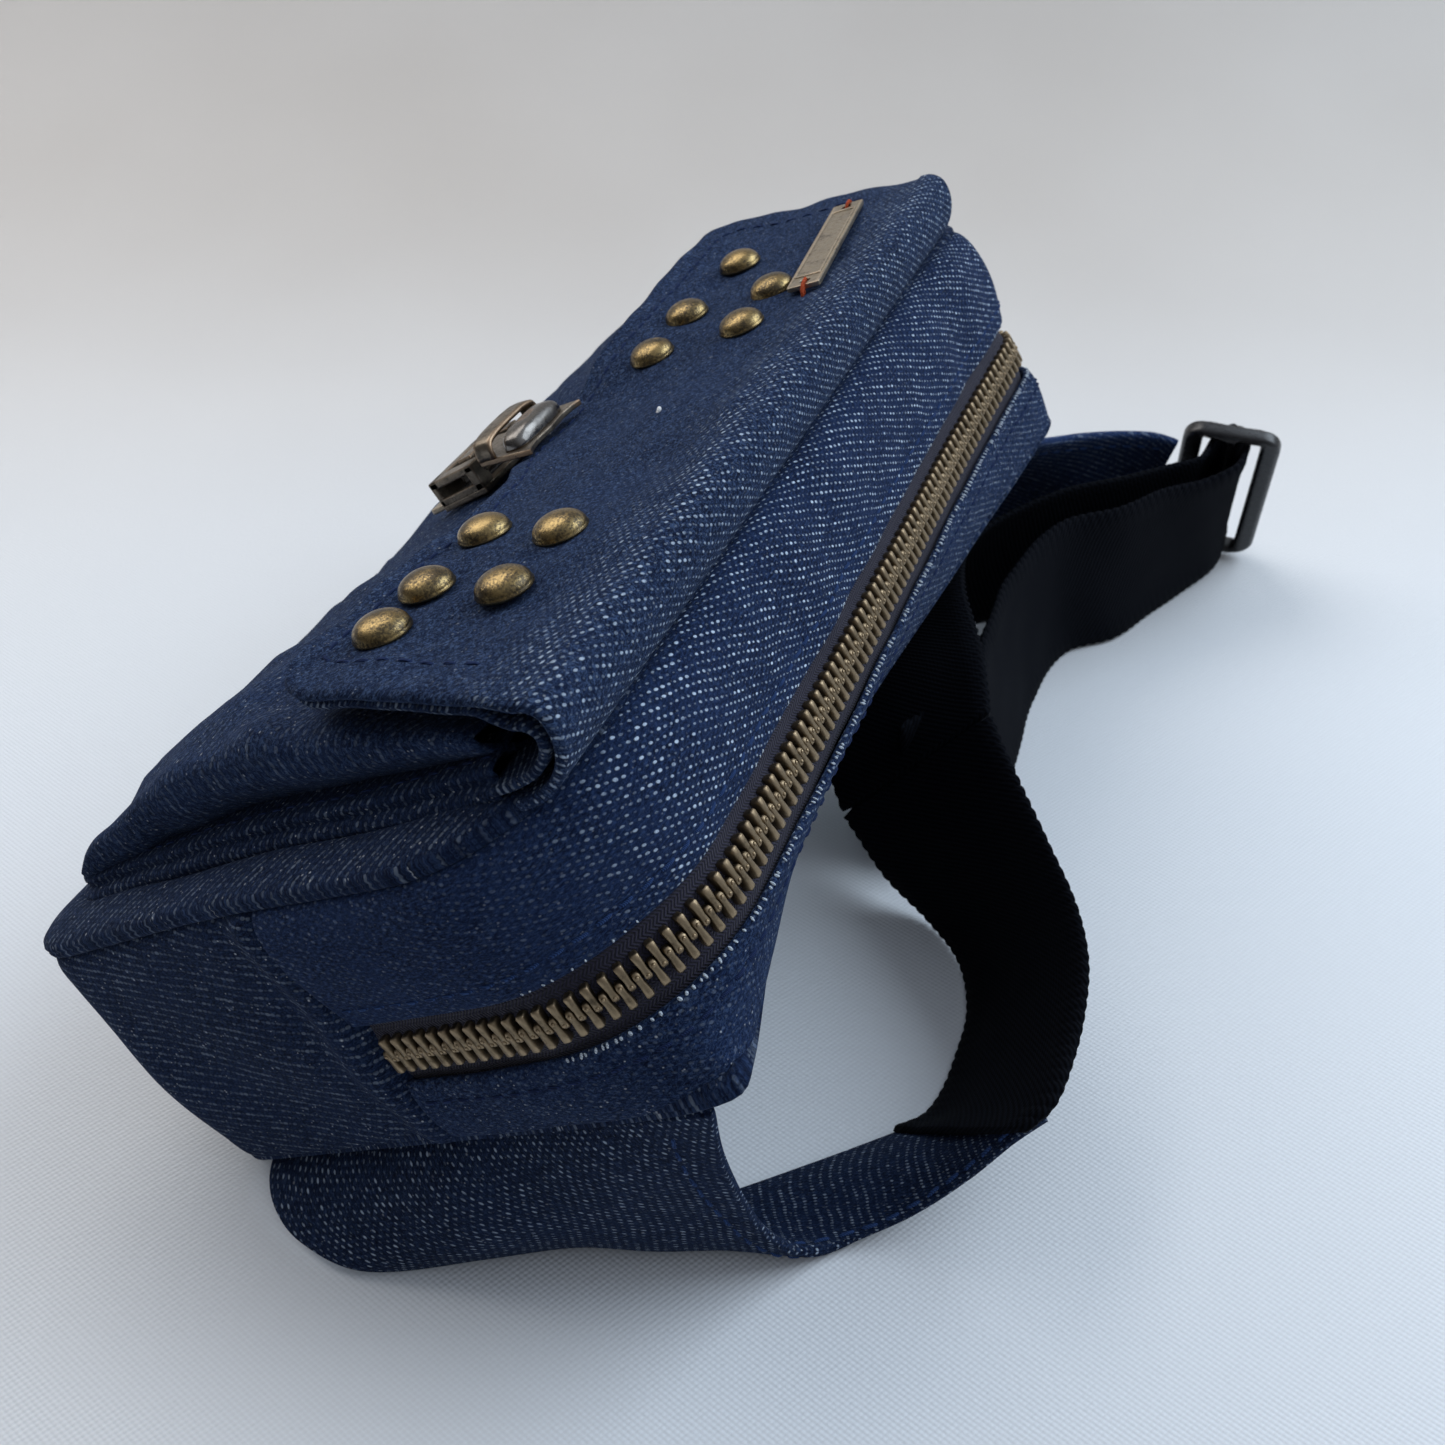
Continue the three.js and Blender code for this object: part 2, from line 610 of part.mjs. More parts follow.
function namePlate() {
  const [x, y] = [PLATE.length / 2, PLATE.width / 2];
  const shape = new THREE.Shape(vectors([[-x, -y], [x, -y], [x, y], [-x, y]]));
  for (const holeX of plateHoles) {
    const hole = new THREE.Path();
    hole.absarc(holeX, 0, PLATE.holeRadius, 0, 2 * Math.PI, false);
    shape.holes.push(hole);
  }
  return extrude(shape, PLATE.thickness, 4).rotateX(-Math.PI / 2).applyMatrix4(plateFrame);
}
add(bag, "name_plate", namePlate(), brass());
plateHoles.forEach((holeX, k) => {
  const stitch = box(span(holeX, 0.45), [1.25, 1.9], [-4.2, 0.5]);
  add(bag, `name_plate_thread_${k + 1}`, stitch.applyMatrix4(plateFrame), thread());
});

// ----------------------------------------------------------------- press lock
const LOCK_X = 96.5;
const catchFrame = flapFrame(LOCK_X, 72, 1.2);

// Plate on the flap, with a tongue that drops into the receiver.
function lockCatchPlate() {
  const thickness = 1.1;
  const outline = [
    [-9.5, 2.6], [-6, 1.6], [0, 2.4], [6, 1.6], [9.5, 2.6], [8.6, -9], [-8.6, -9],
  ];
  const plate = extrude(new THREE.Shape(vectors(outline)), thickness)
    .rotateX(-Math.PI / 2)
    .scale(1, 1, -1);
  // mirroring turned the faces inside out
  const triangles = [...Array(plate.attributes.position.count).keys()];
  swapWinding(triangles);
  plate.setIndex(triangles);
  const tongueX = span(0, 3.6);
  return join(
    plate,
    box(tongueX, [0, thickness], [-12.6, -8.5]),
    box(tongueX, [-2.4, thickness], [-12.6, -11.6]),
  );
}

// Domed oval on the catch plate.
function lockCabochon() {
  const profile = [[0, 0], [8, 0], [8, 0.6], [7, 1.9], [4.2, 2.7], [0, 3]];
  return lathe(profile, 14).scale(1, 1, 0.36).translate(0, 1.5, -1.8);
}

const lockBridge = () =>
  cut(
    box(span(0, 8.8), [1.5, 4], [-8.6, -5.4]),
    box(span(0, 7), [0.5, 3], [-10, -4]),
  );

add(bag, "lock_catch_plate", lockCatchPlate().applyMatrix4(catchFrame), bronze());
add(bag, "lock_cabochon", lockCabochon().applyMatrix4(catchFrame), bronze());
add(bag, "lock_bridge", lockBridge().applyMatrix4(catchFrame), bronze());

// The receiver stands on the pocket, in the upright frame
const RECEIVER = { y: 65, z0: 50.2, z1: 61.2 }; // back face, bottom and top
const { y: receiverY, z0: receiverZ0, z1: receiverZ1 } = RECEIVER;

// Block with a middle recess open at the top and a slot on each side of it.
function lockReceiver() {
  const slotY = [receiverY + 2.4, receiverY + 8];
  const slotZ = [receiverZ0 + 2, receiverZ1 - 2];
  return cut(
    box(span(LOCK_X, 8.8), [receiverY, receiverY + 6.2], [receiverZ0, receiverZ1]),
    box(span(LOCK_X, 4.6), [receiverY + 1.2, receiverY + 8], [receiverZ0 + 2.2, receiverZ1 + 3]),
    box([LOCK_X - 7.4, LOCK_X - 5.6], slotY, slotZ),
    box([LOCK_X + 5.6, LOCK_X + 7.4], slotY, slotZ),
  );
}

const lockButton = () =>
  box(
    span(LOCK_X, 3.9),
    [receiverY + 1.9, receiverY + 6.8],
    [receiverZ0 + 4.4, receiverZ0 + 7.6],
  );

// Thin leaf, slightly bent, in the bottom of the recess.
function lockSpring() {
  // [x from the lock's middle, z from the receiver's bottom]
  const leaf = [[-3.2, 2.6], [-1.2, 2.5], [1.2, 2.5], [3.2, 2.6]];
  const path = leaf.map(([x, z]) => station(LOCK_X + x, receiverZ0 + z, 0, 1));
  return band(path, receiverY + 2, receiverY + 5, 0, 0.35);
}

const lockBaseTab = () =>
  box(
    span(LOCK_X, 5.5),
    [receiverY - 0.3, receiverY + 0.8],
    [receiverZ0 - 6.5, receiverZ0 - 0.4],
  );

const lockBackPlate = () =>
  box(span(LOCK_X, 8), [57.4, 58.3], [receiverZ0 - 4, receiverZ1 - 2]);

add(bag, "lock_receiver", lockReceiver(), bronze());
add(bag, "lock_release_button", lockButton(), bronze());
add(bag, "lock_spring", lockSpring(), springSteel());
add(bag, "lock_base_tab", lockBaseTab(), bronze());
add(bag, "lock_back_plate", lockBackPlate(), plateSteel());

// ----------------------------------------------------------------------- belt
// Every table below lists [bottom edge, top edge] along the strip.
const WING = { across: 5, thickness: 2.2 };
const WEB = { across: 1, thickness: 1.6 };

// The edge of a wing sewn to the back panel, at x, in the belt's frame.
const wingSeam = (x) =>
  [9, 105].map((z) => V(x, -3.3, z).applyAxisAngle(V(1, 0, 0), rad(TILT)).toArray());

// near wing: sewn along the near end of the back panel, folded behind the bag
const wingNear = [
  wingSeam(5),
  [[-1, -11.5, 2.6], [8, -88.5, 42]],
  [[-5, -15.5, 2], [12.5, -89.5, 24]],
  [[-7.5, -21, 1.6], [16.5, -93, 9]],
  [[-8, -31, 1.5], [20, -98.5, 1.7]],
  [[5, -55, 1.5], [25, -106, 2.6]],
  [[21, -78, 1.5], [30, -114, 7.5]],
  [[36, -95, 1.6], [34.5, -121.5, 16.5]],
  [[50, -110.5, 2.6], [38.5, -129.5, 29.5]],
];
const webbingNear = [
  [[52.5, -111.2, 1.5], [40.6, -130.8, 31]],
  [[70, -113, 1], [55, -132, 32]],
  [[80, -112, 1], [71, -130, 33.5]],
  [[91, -107, 1], [81.5, -125, 35]],
  [[98, -99, 1.5], [91, -118, 38]],
  [[102, -89, 6], [101, -110.5, 40.5]],
  [[108, -78, 14], [113, -102.5, 43]],
];
// far webbing: through the adjuster and back, with its free tail
const webbingFar = [
  [[109.6, -76.2, 15.6], [115.2, -101.4, 43.3]],
  [[122, -66, 25.5], [131, -96, 45]],
  [[140, -58, 25], [150, -88, 45]],
  [[163, -55, 16], [172, -84, 40]],
  [[186, -66, 3], [192, -86, 36]],
  [[206, -88, 1], [208, -98, 38]],
  [[222, -106, 1], [220, -112, 38.5]],
  [[239, -121, 1], [229, -121, 38.5]],
  [[250, -129, 2.6], [236, -128.5, 39]],
  [[258, -130.4, 4], [244, -130, 40.2]],
  [[262.6, -131, 4.4], [248.8, -131, 40.6]],
  [[265.4, -134.4, 4.4], [251.6, -134.4, 40.6]],
  [[262.6, -137.8, 4.4], [248.8, -137.8, 40.6]],
  [[258, -138.4, 4], [244, -138.2, 40.2]],
  [[248, -137.6, 2.6], [235, -137, 39]],
  [[234, -130.5, 1], [228, -131, 37.5]],
  [[221, -124, 1], [218, -121.5, 38]],
  [[208, -117.5, 1], [206, -113, 38]],
  [[198, -107.5, 1], [195, -102, 38]],
  [[176, -103.5, 1], [172, -95, 37]],
  [[146, -104.5, 1], [150, -94.5, 36]],
  [[128, -102.5, 1], [131, -95.5, 35]],
];
const wingFar = [
  wingSeam(W - 5),
  [[203, -16, 2], [203, -91, 53]],
  [[212, -32, 2], [213, -94, 49]],
  [[222, -54, 3], [223, -101, 46.5]],
  [[232, -78, 4], [230, -109, 45]],
  [[243, -98, 4], [235, -116.5, 43.5]],
  [[252, -113, 3], [238.5, -121.5, 41]],
];
add(belt, "wing_near", ribbon(wingNear, { count: 22, ...WING }), denim());
add(belt, "webbing_near", ribbon(webbingNear, { count: 22, ...WEB }), webbing());
add(belt, "webbing_far", ribbon(webbingFar, { count: 84, ...WEB }), webbing());
add(belt, "wing_far", ribbon(wingFar, { count: 18, ...WING }), denim());

// Three-bar adjuster: the bars run along the leaning axis, spaced along y.
function adjuster() {
  const thickness = 3.4;
  const slotHalf = 21;
  const shape = roundedRectangle(span(0, 23.6), span(0, 12.4), [3, 3, 3, 3]);
  for (const [y0, y1] of [[-7.2, -1.7], [1.7, 7.2]]) {
    const slot = [[-slotHalf, y0], [-slotHalf, y1], [slotHalf, y1], [slotHalf, y0]];
    shape.holes.push(new THREE.Path(vectors(slot)));
  }
  const alongBars = V(-14, 0, 36.6).normalize();
  const acrossBars = V(0, -1, 0);
  const normal = alongBars.clone().cross(acrossBars);
  const frame = new THREE.Matrix4()
    .makeBasis(alongBars, acrossBars, normal)
    .setPosition(250.5, -134.4, 23);
  return extrude(shape, thickness, 4).translate(0, 0, -thickness / 2).applyMatrix4(frame);
}
add(belt, "adjuster", adjuster(), blackPlastic());

// the origin: middle of the whole object's box, on the floor
pack.updateMatrixWorld(true);
const whole = new THREE.Box3().setFromObject(pack, true);
pack.position.set(
  -(whole.min.x + whole.max.x) / 2,
  -(whole.min.y + whole.max.y) / 2,
  -whole.min.z,
);

export default pack;
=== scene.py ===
"""A small denim belt bag: a zipped box with a pocket, a press-locked flap and a belt.

The bag leans back 56 degrees towards -y, and its belt lies over the floor. Pieces are
drawn in mm in one of two frames, then turned into metres:
- bag frame: the bag upright, x from the near end (0) to the far end (WIDTH), y from
  the back (0) to the front, z from the bottom (0) to the top (HEIGHT);
- floor frame: the same origin and x, with y level and z up.
"""

import math

import bmesh
import bpy
import numpy as np
from mathutils import Matrix, Vector


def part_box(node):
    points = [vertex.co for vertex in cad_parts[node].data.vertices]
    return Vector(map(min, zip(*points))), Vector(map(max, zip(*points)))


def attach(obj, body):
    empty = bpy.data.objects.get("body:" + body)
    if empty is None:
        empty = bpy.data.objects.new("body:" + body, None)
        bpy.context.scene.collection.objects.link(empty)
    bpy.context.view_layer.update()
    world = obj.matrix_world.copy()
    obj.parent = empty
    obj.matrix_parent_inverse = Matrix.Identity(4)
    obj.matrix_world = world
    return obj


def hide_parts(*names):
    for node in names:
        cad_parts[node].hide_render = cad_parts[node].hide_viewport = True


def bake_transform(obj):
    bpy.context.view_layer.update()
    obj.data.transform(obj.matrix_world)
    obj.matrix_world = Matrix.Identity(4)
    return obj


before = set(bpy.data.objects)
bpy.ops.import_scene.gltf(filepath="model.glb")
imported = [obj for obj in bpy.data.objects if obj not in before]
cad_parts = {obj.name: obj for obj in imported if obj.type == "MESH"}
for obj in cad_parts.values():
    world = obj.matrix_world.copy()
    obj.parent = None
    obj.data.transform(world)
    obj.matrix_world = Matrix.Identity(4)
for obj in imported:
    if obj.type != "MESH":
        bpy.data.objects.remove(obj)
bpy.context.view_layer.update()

# ------------------------------------------------------------ sizes and frames
WIDTH, HEIGHT = 196.5, 114.6
NEAR_R, FAR_R, BOTTOM_R = 27.0, 12.0, 12.0  # corner radii: near top, far top, bottom
BAND_END = 60.6  # height at which the zip bands stop on both ends
ZIP_Y = 19.0  # middle line of the zip
MARGIN = 0.6  # between the bag frame and the back panel's box
LEAN_COS, LEAN_SIN = math.cos(math.radians(56)), math.sin(math.radians(56))
_lo, _hi = [np.array(v) * 1000 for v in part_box("back_panel")]
ORIGIN = np.array(
    [
        (_lo[0] + _hi[0]) / 2,
        _lo[1] + LEAN_SIN * (HEIGHT + MARGIN),
        _lo[2] + LEAN_COS * MARGIN,
    ]
)


def lean(p):
    """Bag frame to floor frame, both in mm."""
    x, y, z = np.moveaxis(np.asarray(p, float), -1, 0)
    return np.stack([x, LEAN_COS * y - LEAN_SIN * z, LEAN_SIN * y + LEAN_COS * z], -1)


def from_floor(p):
    """Floor frame (mm) to the scene (m)."""
    return (np.asarray(p, float) - [WIDTH / 2, 0, 0] + ORIGIN) / 1000


def from_bag(p):
    """Bag frame (mm) to the scene (m)."""
    return from_floor(lean(p))


def placed(to, origin, axes):
    """Map from a part's own frame, through the frame that `to` reads."""
    return lambda v: to(origin + v @ np.array(axes))


# --------------------------------------------------------------- maths helpers
def unit(v):
    return v / max(np.linalg.norm(v), 1e-9)


def ease(start, end, x):
    """Smooth step from 0 at start to 1 at end."""
    t = np.clip((x - start) / (end - start), 0, 1)
    return t * t * (3 - 2 * t)


def lookup(x, stations):
    """Straight-line reading of a table of (x, value)."""
    stations = np.array(stations, float)
    return np.interp(x, stations[:, 0], stations[:, 1])


def wobble(p, amp, wave, seed):
    """Smooth seeded waviness at the points p."""
    rng = np.random.RandomState(seed)
    total = 0
    for _ in range(7):
        d = rng.normal(size=3)
        d /= np.linalg.norm(d)
        length = wave * rng.uniform(0.7, 1.5)
        total = total + np.sin(2 * np.pi * (p @ d) / length + rng.uniform(0, 6.28))
    return amp * total / 2.6


def run_length(points):
    """Distance travelled along a line at each of its points."""
    return np.r_[0, np.cumsum(np.linalg.norm(np.diff(points, axis=0), axis=1))]


def sample(points, run, at):
    """Points of a line at the given distances along it."""
    return np.stack([np.interp(at, run, points[:, k]) for k in range(points.shape[1])], -1)


def lerp(u, t0, t1, a, b):
    return (t1 - u) / (t1 - t0) * a + (u - t0) / (t1 - t0) * b


def spline(points, count):
    """Evenly spaced points along a centripetal Catmull-Rom curve."""
    ctrl = np.array(points, float)
    ctrl = np.vstack([2 * ctrl[0] - ctrl[1], ctrl, 2 * ctrl[-1] - ctrl[-2]])
    parts = []
    for i in range(1, len(ctrl) - 2):
        p0, p1, p2, p3 = ctrl[i - 1 : i + 3]
        t0 = 0.0
        t1 = t0 + max(np.linalg.norm(p1 - p0), 1e-6) ** 0.5
        t2 = t1 + max(np.linalg.norm(p2 - p1), 1e-6) ** 0.5
        t3 = t2 + max(np.linalg.norm(p3 - p2), 1e-6) ** 0.5
        u = np.linspace(t1, t2, 24, endpoint=(i == len(ctrl) - 3))[:, None]
        mid = lerp(u, t1, t2, p1, p2)
        before = lerp(u, t0, t2, lerp(u, t0, t1, p0, p1), mid)
        after = lerp(u, t1, t3, mid, lerp(u, t2, t3, p2, p3))
        parts.append(lerp(u, t1, t2, before, after))
    curve = np.vstack(parts)
    run = run_length(curve)
    return sample(curve, run, np.linspace(0, run[-1], count))


# ------------------------------------------------------------------- materials
class Nodes:
    """Shorthand for building the node tree of a material or a world."""

    def __init__(self, owner, output):
        owner.use_nodes = True
        self.owner, self.tree = owner, owner.node_tree
        self.tree.nodes.clear()
        self.output = self.node(output)

    def put(self, socket, value):
        if isinstance(value, bpy.types.NodeSocket):
            self.tree.links.new(value, socket)
        else:
            socket.default_value = (*value, 1) if socket.type == "RGBA" else value

    def node(self, kind, inputs={}, **settings):
        made = self.tree.nodes.new("ShaderNode" + kind)
        for key, value in settings.items():
            setattr(made, key, value)
        for key, value in inputs.items():
            self.put(made.inputs[key], value)
        return made

    def math(self, operation, a, b=0.0, c=0.0, clamp=False):
        inputs = {0: a, 1: b, 2: c}
        return self.node("Math", inputs, operation=operation, use_clamp=clamp).outputs[0]

    def vector(self, operation, inputs):
        return self.node("VectorMath", inputs, operation=operation).outputs[0]

    def wave(self, value, period):
        """Sine of a length in mm."""
        return self.math("SINE", self.math("MULTIPLY", value, 2 * math.pi / period))

    def noise(self, vector, scale, detail=2.0, rough=0.5, twist=0.0, output=0):
        inputs = {"Vector": vector, "Scale": scale, "Detail": detail}
        inputs.update({"Roughness": rough, "Distortion": twist})
        return self.node("TexNoise", inputs).outputs[output]

    def mapping(self, vector, **inputs):
        return self.node("Mapping", {"Vector": vector, **inputs}).outputs[0]

    def ramp(self, factor, stops):
        """Colour ramp through (position, colour) stops."""
        made = self.node("ValToRGB", {"Fac": factor})
        elements = made.color_ramp.elements
        for element, (position, colour) in zip(elements, (stops[0], stops[-1])):
            element.position = position
            element.color = (*colour, 1)
        for position, colour in stops[1:-1]:
            elements.new(position).color = (*colour, 1)
        return made.outputs[0]

    def range(self, value, reach, to=(0.0, 1.0), curve="SMOOTHSTEP"):
        """Map the value from its reach to the range `to`."""
        inputs = {"Value": value, "From Min": reach[0], "From Max": reach[1]}
        inputs.update({"To Min": to[0], "To Max": to[1]})
        return self.node("MapRange", inputs, interpolation_type=curve).outputs[0]

    def mix(self, factor, a, b):
        return self.node("Mix", {0: factor, 6: a, 7: b}, data_type="RGBA").outputs[2]

    def uv(self):
        return self.node("UVMap", uv_map="mm").outputs[0]

    def xyz(self, vector):
        return self.node("SeparateXYZ", {0: vector}).outputs

    def object_mm(self):
        coords = self.node("TexCoord").outputs["Object"]
        return self.vector("SCALE", {0: coords, "Scale": 1000.0})

    def bump(self, height, distance, strength=1.0, normal=None):
        inputs = {"Height": height, "Distance": distance, "Strength": strength}
        if normal is not None:
            inputs["Normal"] = normal
        return self.node("Bump", inputs).outputs[0]

    def surface(self, **inputs):
        named = {key.replace("_", " "): value for key, value in inputs.items()}
        bsdf = self.node("BsdfPrincipled", named)
        self.tree.links.new(bsdf.outputs[0], self.output.inputs[0])
        return self.owner


def material(name):
    return Nodes(bpy.data.materials.new(name), "OutputMaterial")


def denim(name, angle, rows, heather, fleck, tone, pitch, step=0.92, dot=0.30, fade=None):
    """Indigo twill: rows of pale weft dots, a heathered face and stray flecks.

    angle turns the rows; rows, heather and fleck are strengths of the dotted lines,
    the pale mottling and the bright specks; tone scales the indigo. pitch lies
    between rows, step between dots and dot is their size, in mm. fade is (UV axis,
    reach, strength range) and weakens the rows over part of the cloth.
    """
    n = material(name)
    uv, ob = n.uv(), n.object_mm()

    # a grid of cells along the rows, bent by slow and quick noise
    slow = n.noise(uv, 0.09, detail=1.0, output="Color")
    quick = n.noise(uv, 0.9, detail=1.0, output="Color")
    bent = n.vector("MULTIPLY_ADD", {0: slow, 1: (1.2, 1.2, 0), 2: uv})
    bent = n.vector("MULTIPLY_ADD", {0: quick, 1: (0.22, 0.22, 0), 2: bent})
    turn = {"Vector": bent, "Angle": math.radians(-angle)}
    turned = n.xyz(n.node("VectorRotate", turn, rotation_type="Z_AXIS").outputs[0])
    along, across = turned[0], turned[1]
    row_at = n.math("DIVIDE", across, pitch)
    row = n.math("FLOOR", row_at)
    off_row = n.math("SUBTRACT", n.math("FRACT", row_at), 0.5)
    col_at = n.math("MULTIPLY_ADD", row, 0.37, n.math("DIVIDE", along, step))
    column = n.math("FLOOR", col_at)
    off_column = n.math("SUBTRACT", n.math("FRACT", col_at), 0.5)
    cell = n.node("CombineXYZ", {0: row, 1: column}).outputs[0]
    white = n.node("TexWhiteNoise", {"Vector": cell}, noise_dimensions="2D")
    chance = white.outputs["Value"]

    # one oval dot in each cell, of random size and strength
    dx = n.math("MULTIPLY", off_row, pitch)
    dy = n.math("MULTIPLY", off_column, step * 0.62)
    square = n.math("ADD", n.math("MULTIPLY", dx, dx), n.math("MULTIPLY", dy, dy))
    radius = n.math("SQRT", square)
    size = n.math("MULTIPLY_ADD", chance, 0.5 * dot, 0.62 * dot)
    mask = n.range(n.math("DIVIDE", radius, size), (0.55, 1.15), to=(1, 0))
    big = n.noise(ob, 0.06, detail=3.0, rough=0.6)
    mid = n.noise(ob, 0.45, detail=3.0, rough=0.65)
    vary = n.math("MULTIPLY_ADD", n.math("POWER", chance, 1.1), 1.0, 0.16)
    patchy = n.range(mid, (0.33, 0.60), to=(0.30, 1.1))
    dots = n.math("MULTIPLY", n.math("MULTIPLY", mask, vary), patchy)
    if fade:
        axis, reach, strength = fade
        dots = n.math("MULTIPLY", dots, n.range(n.xyz(uv)[axis], reach, to=strength))

    # fine steep grain of the warp face
    steep = {"Rotation": (0, 0, math.radians(-70.0)), "Scale": (1.0, 2.6, 1.0)}
    grain = n.noise(n.mapping(uv, **steep), 1.05, detail=3.0, rough=0.65)
    rough = n.noise(uv, 2.1, detail=4.0, rough=0.78, twist=0.6)
    toned = lambda *rgb: tuple(c * tone for c in rgb)
    indigo = [
        (0.34, toned(0.0012, 0.0026, 0.0098)),
        (0.52, toned(0.0072, 0.0150, 0.0460)),
        (0.70, toned(0.0240, 0.0480, 0.1240)),
    ]
    colour = n.ramp(grain, indigo)
    # random paler worn patches in the indigo
    wear_and_highlight = n.range(big, (0.38, 0.66), to=(0, 0.30))
    colour = n.mix(wear_and_highlight, colour, toned(0.0130, 0.0280, 0.0820))

    # brushed, heathered fibres
    brushed = n.range(n.noise(uv, 1.55, detail=3.0, rough=0.7, twist=1.4), (0.47, 0.64))
    colour = n.mix(n.math("MULTIPLY", brushed, heather, clamp=True), colour, (0.064, 0.108, 0.215))
    shade = n.range(rough, (0.36, 0.50), to=(0.75 * heather, 0))
    colour = n.mix(shade, colour, toned(0.0035, 0.0065, 0.0190))
    curly = n.noise(uv, 1.15, rough=0.6, twist=3.2)
    thin = n.math("ABSOLUTE", n.math("SUBTRACT", curly, 0.5))
    hairs = n.range(thin, (0.004, 0.022), to=(1, 0))
    hairs = n.math("MULTIPLY", hairs, n.range(mid, (0.50, 0.66), to=(0, 0.42 * heather)))
    colour = n.mix(hairs, colour, (0.22, 0.28, 0.38))
    shown = n.math("MULTIPLY", dots, 0.98 * rows, clamp=True)
    colour = n.mix(shown, colour, (0.52, 0.63, 0.78))

    # stray flecks: scale, reach of the cells' chance, reach of the radius
    for scale, rarity, reach in (
        (0.72, (0.60, 0.98), (0.05, 0.20)),
        (1.35, (0.72, 0.99), (0.07, 0.26)),
    ):
        cells = n.node("TexVoronoi", {"Vector": bent, "Scale": scale, "Randomness": 1.0})
        spot = n.range(cells.outputs["Distance"], reach, to=(1, 0))
        red = n.node("SeparateColor", {0: cells.outputs["Color"]}).outputs[0]
        spot = n.math("MULTIPLY", spot, n.range(red, rarity, to=(0, 0.85 * fleck)))
        colour = n.mix(spot, colour, (0.54, 0.58, 0.63))

    weave = n.math("MULTIPLY_ADD", grain, 0.8, n.math("MULTIPLY", rough, 0.8))
    height = n.math("MULTIPLY_ADD", dots, 0.6, weave)
    soft = n.bump(mid, distance=0.0008, strength=0.25)
    return n.surface(
        Base_Color=colour,
        Roughness=0.95,
        Normal=n.bump(height, distance=0.00022, strength=0.9, normal=soft),
        Sheen_Weight=0.03,
        Sheen_Roughness=0.5,
        Sheen_Tint=(0.5, 0.65, 1.0),
        Specular_IOR_Level=0.06,
    )


def antique(name, bright, dark, rough, speck, wear_and_highlight, reach=(0.40, 0.62)):
    """Tarnished metal; speck is the noise scale, and the colour after it goes on the convex edges as
    rubbed metal and a painted highlight.
    """
    n = material(name)
    ob = n.object_mm()
    fine = n.noise(ob, speck, detail=5.0, rough=0.72)
    broad = n.noise(ob, 0.28)
    tarnish = n.math("MULTIPLY_ADD", broad, 0.45, n.math("MULTIPLY", fine, 0.75))
    colour = n.mix(n.range(tarnish, reach), dark, bright)
    edges = n.node("NewGeometry").outputs["Pointiness"]
    # convex edges take a lighter colour: partly rubbed metal, partly a painted highlight
    colour = n.mix(n.range(edges, (0.53, 0.60), to=(0, 0.85)), colour, wear_and_highlight)
    colour = n.mix(n.range(edges, (0.40, 0.485), to=(0.8, 0)), colour, (0.02, 0.016, 0.012))
    return n.surface(
        Base_Color=colour,
        Roughness=n.range(fine, (0.3, 0.7), to=(rough + 0.16, rough - 0.08)),
        Metallic=1.0,
        Normal=n.bump(fine, distance=0.00006, strength=0.6),
    )


def webbing_material(name):
    n = material(name)
    uv = n.uv()
    axes = n.xyz(uv)
    u, v = axes[0], axes[1]
    slanted = n.wave(n.math("MULTIPLY_ADD", v, 0.8, u), period=1.25)
    straight = n.wave(v, period=0.8)
    fine = n.noise(uv, 4.0, rough=0.6)
    height = n.math("MULTIPLY_ADD", straight, 0.25, fine)
    height = n.math("MULTIPLY_ADD", slanted, 0.6, height)
    ribs = n.range(slanted, (-1, 1))
    colour = n.mix(ribs, (0.0012, 0.0015, 0.0027), (0.0040, 0.0052, 0.0085))
    fuzz = n.range(fine, (0.55, 0.8), to=(0, 0.3))
    return n.surface(
        Base_Color=n.mix(fuzz, colour, (0.010, 0.012, 0.018)),
        Roughness=0.85,
        Normal=n.bump(height, distance=0.00009, strength=0.8),
        Specular_IOR_Level=0.05,
    )


def tape_material(name):
    n = material(name)
    uv = n.uv()
    axes = n.xyz(uv)
    u, v = axes[0], axes[1]
    zigzag = n.math("PINGPONG", v, 0.9)
    chevron = n.wave(n.math("MULTIPLY_ADD", zigzag, 0.9, u), period=0.62)
    straight = n.wave(v, period=0.6)
    fine = n.noise(uv, 3.0, rough=0.6)
    height = n.math("MULTIPLY_ADD", straight, 0.3, fine)
    height = n.math("MULTIPLY_ADD", chevron, 0.5, height)
    ribs = n.range(chevron, (-1, 1))
    colour = n.mix(ribs, (0.0045, 0.0042, 0.012), (0.017, 0.015, 0.040))
    fuzz = n.range(fine, (0.58, 0.8), to=(0, 0.5))
    return n.surface(
        Base_Color=n.mix(fuzz, colour, (0.035, 0.032, 0.07)),
        Roughness=0.85,
        Normal=n.bump(height, distance=0.00013, strength=0.9),
        Sheen_Weight=0.1,
    )


def thread(name, dark, light):
    n = material(name)
    wave = {"Vector": n.object_mm(), "Scale": 1.4, "Distortion": 1.2, "Detail": 1.0}
    twist = n.node("TexWave", wave).outputs["Fac"]
    return n.surface(
        Base_Color=n.mix(twist, dark, light),
        Roughness=0.85,
        Normal=n.bump(twist, distance=0.00008, strength=0.7),
        Specular_IOR_Level=0.12,
    )


def plastic_material(name):
    n = material(name)
    ob = n.object_mm()
    fine = n.noise(ob, 2.2, detail=4.0, rough=0.7)
    streaks = n.noise(n.mapping(ob, Scale=(1, 1, 9)), 0.5)
    return n.surface(
        Base_Color=n.mix(fine, (0.004, 0.004, 0.005), (0.011, 0.011, 0.013)),
        Roughness=n.range(streaks, (0.35, 0.7), to=(0.24, 0.42)),
        Normal=n.bump(fine, distance=0.00005, strength=0.35),
        Specular_IOR_Level=0.5,
    )
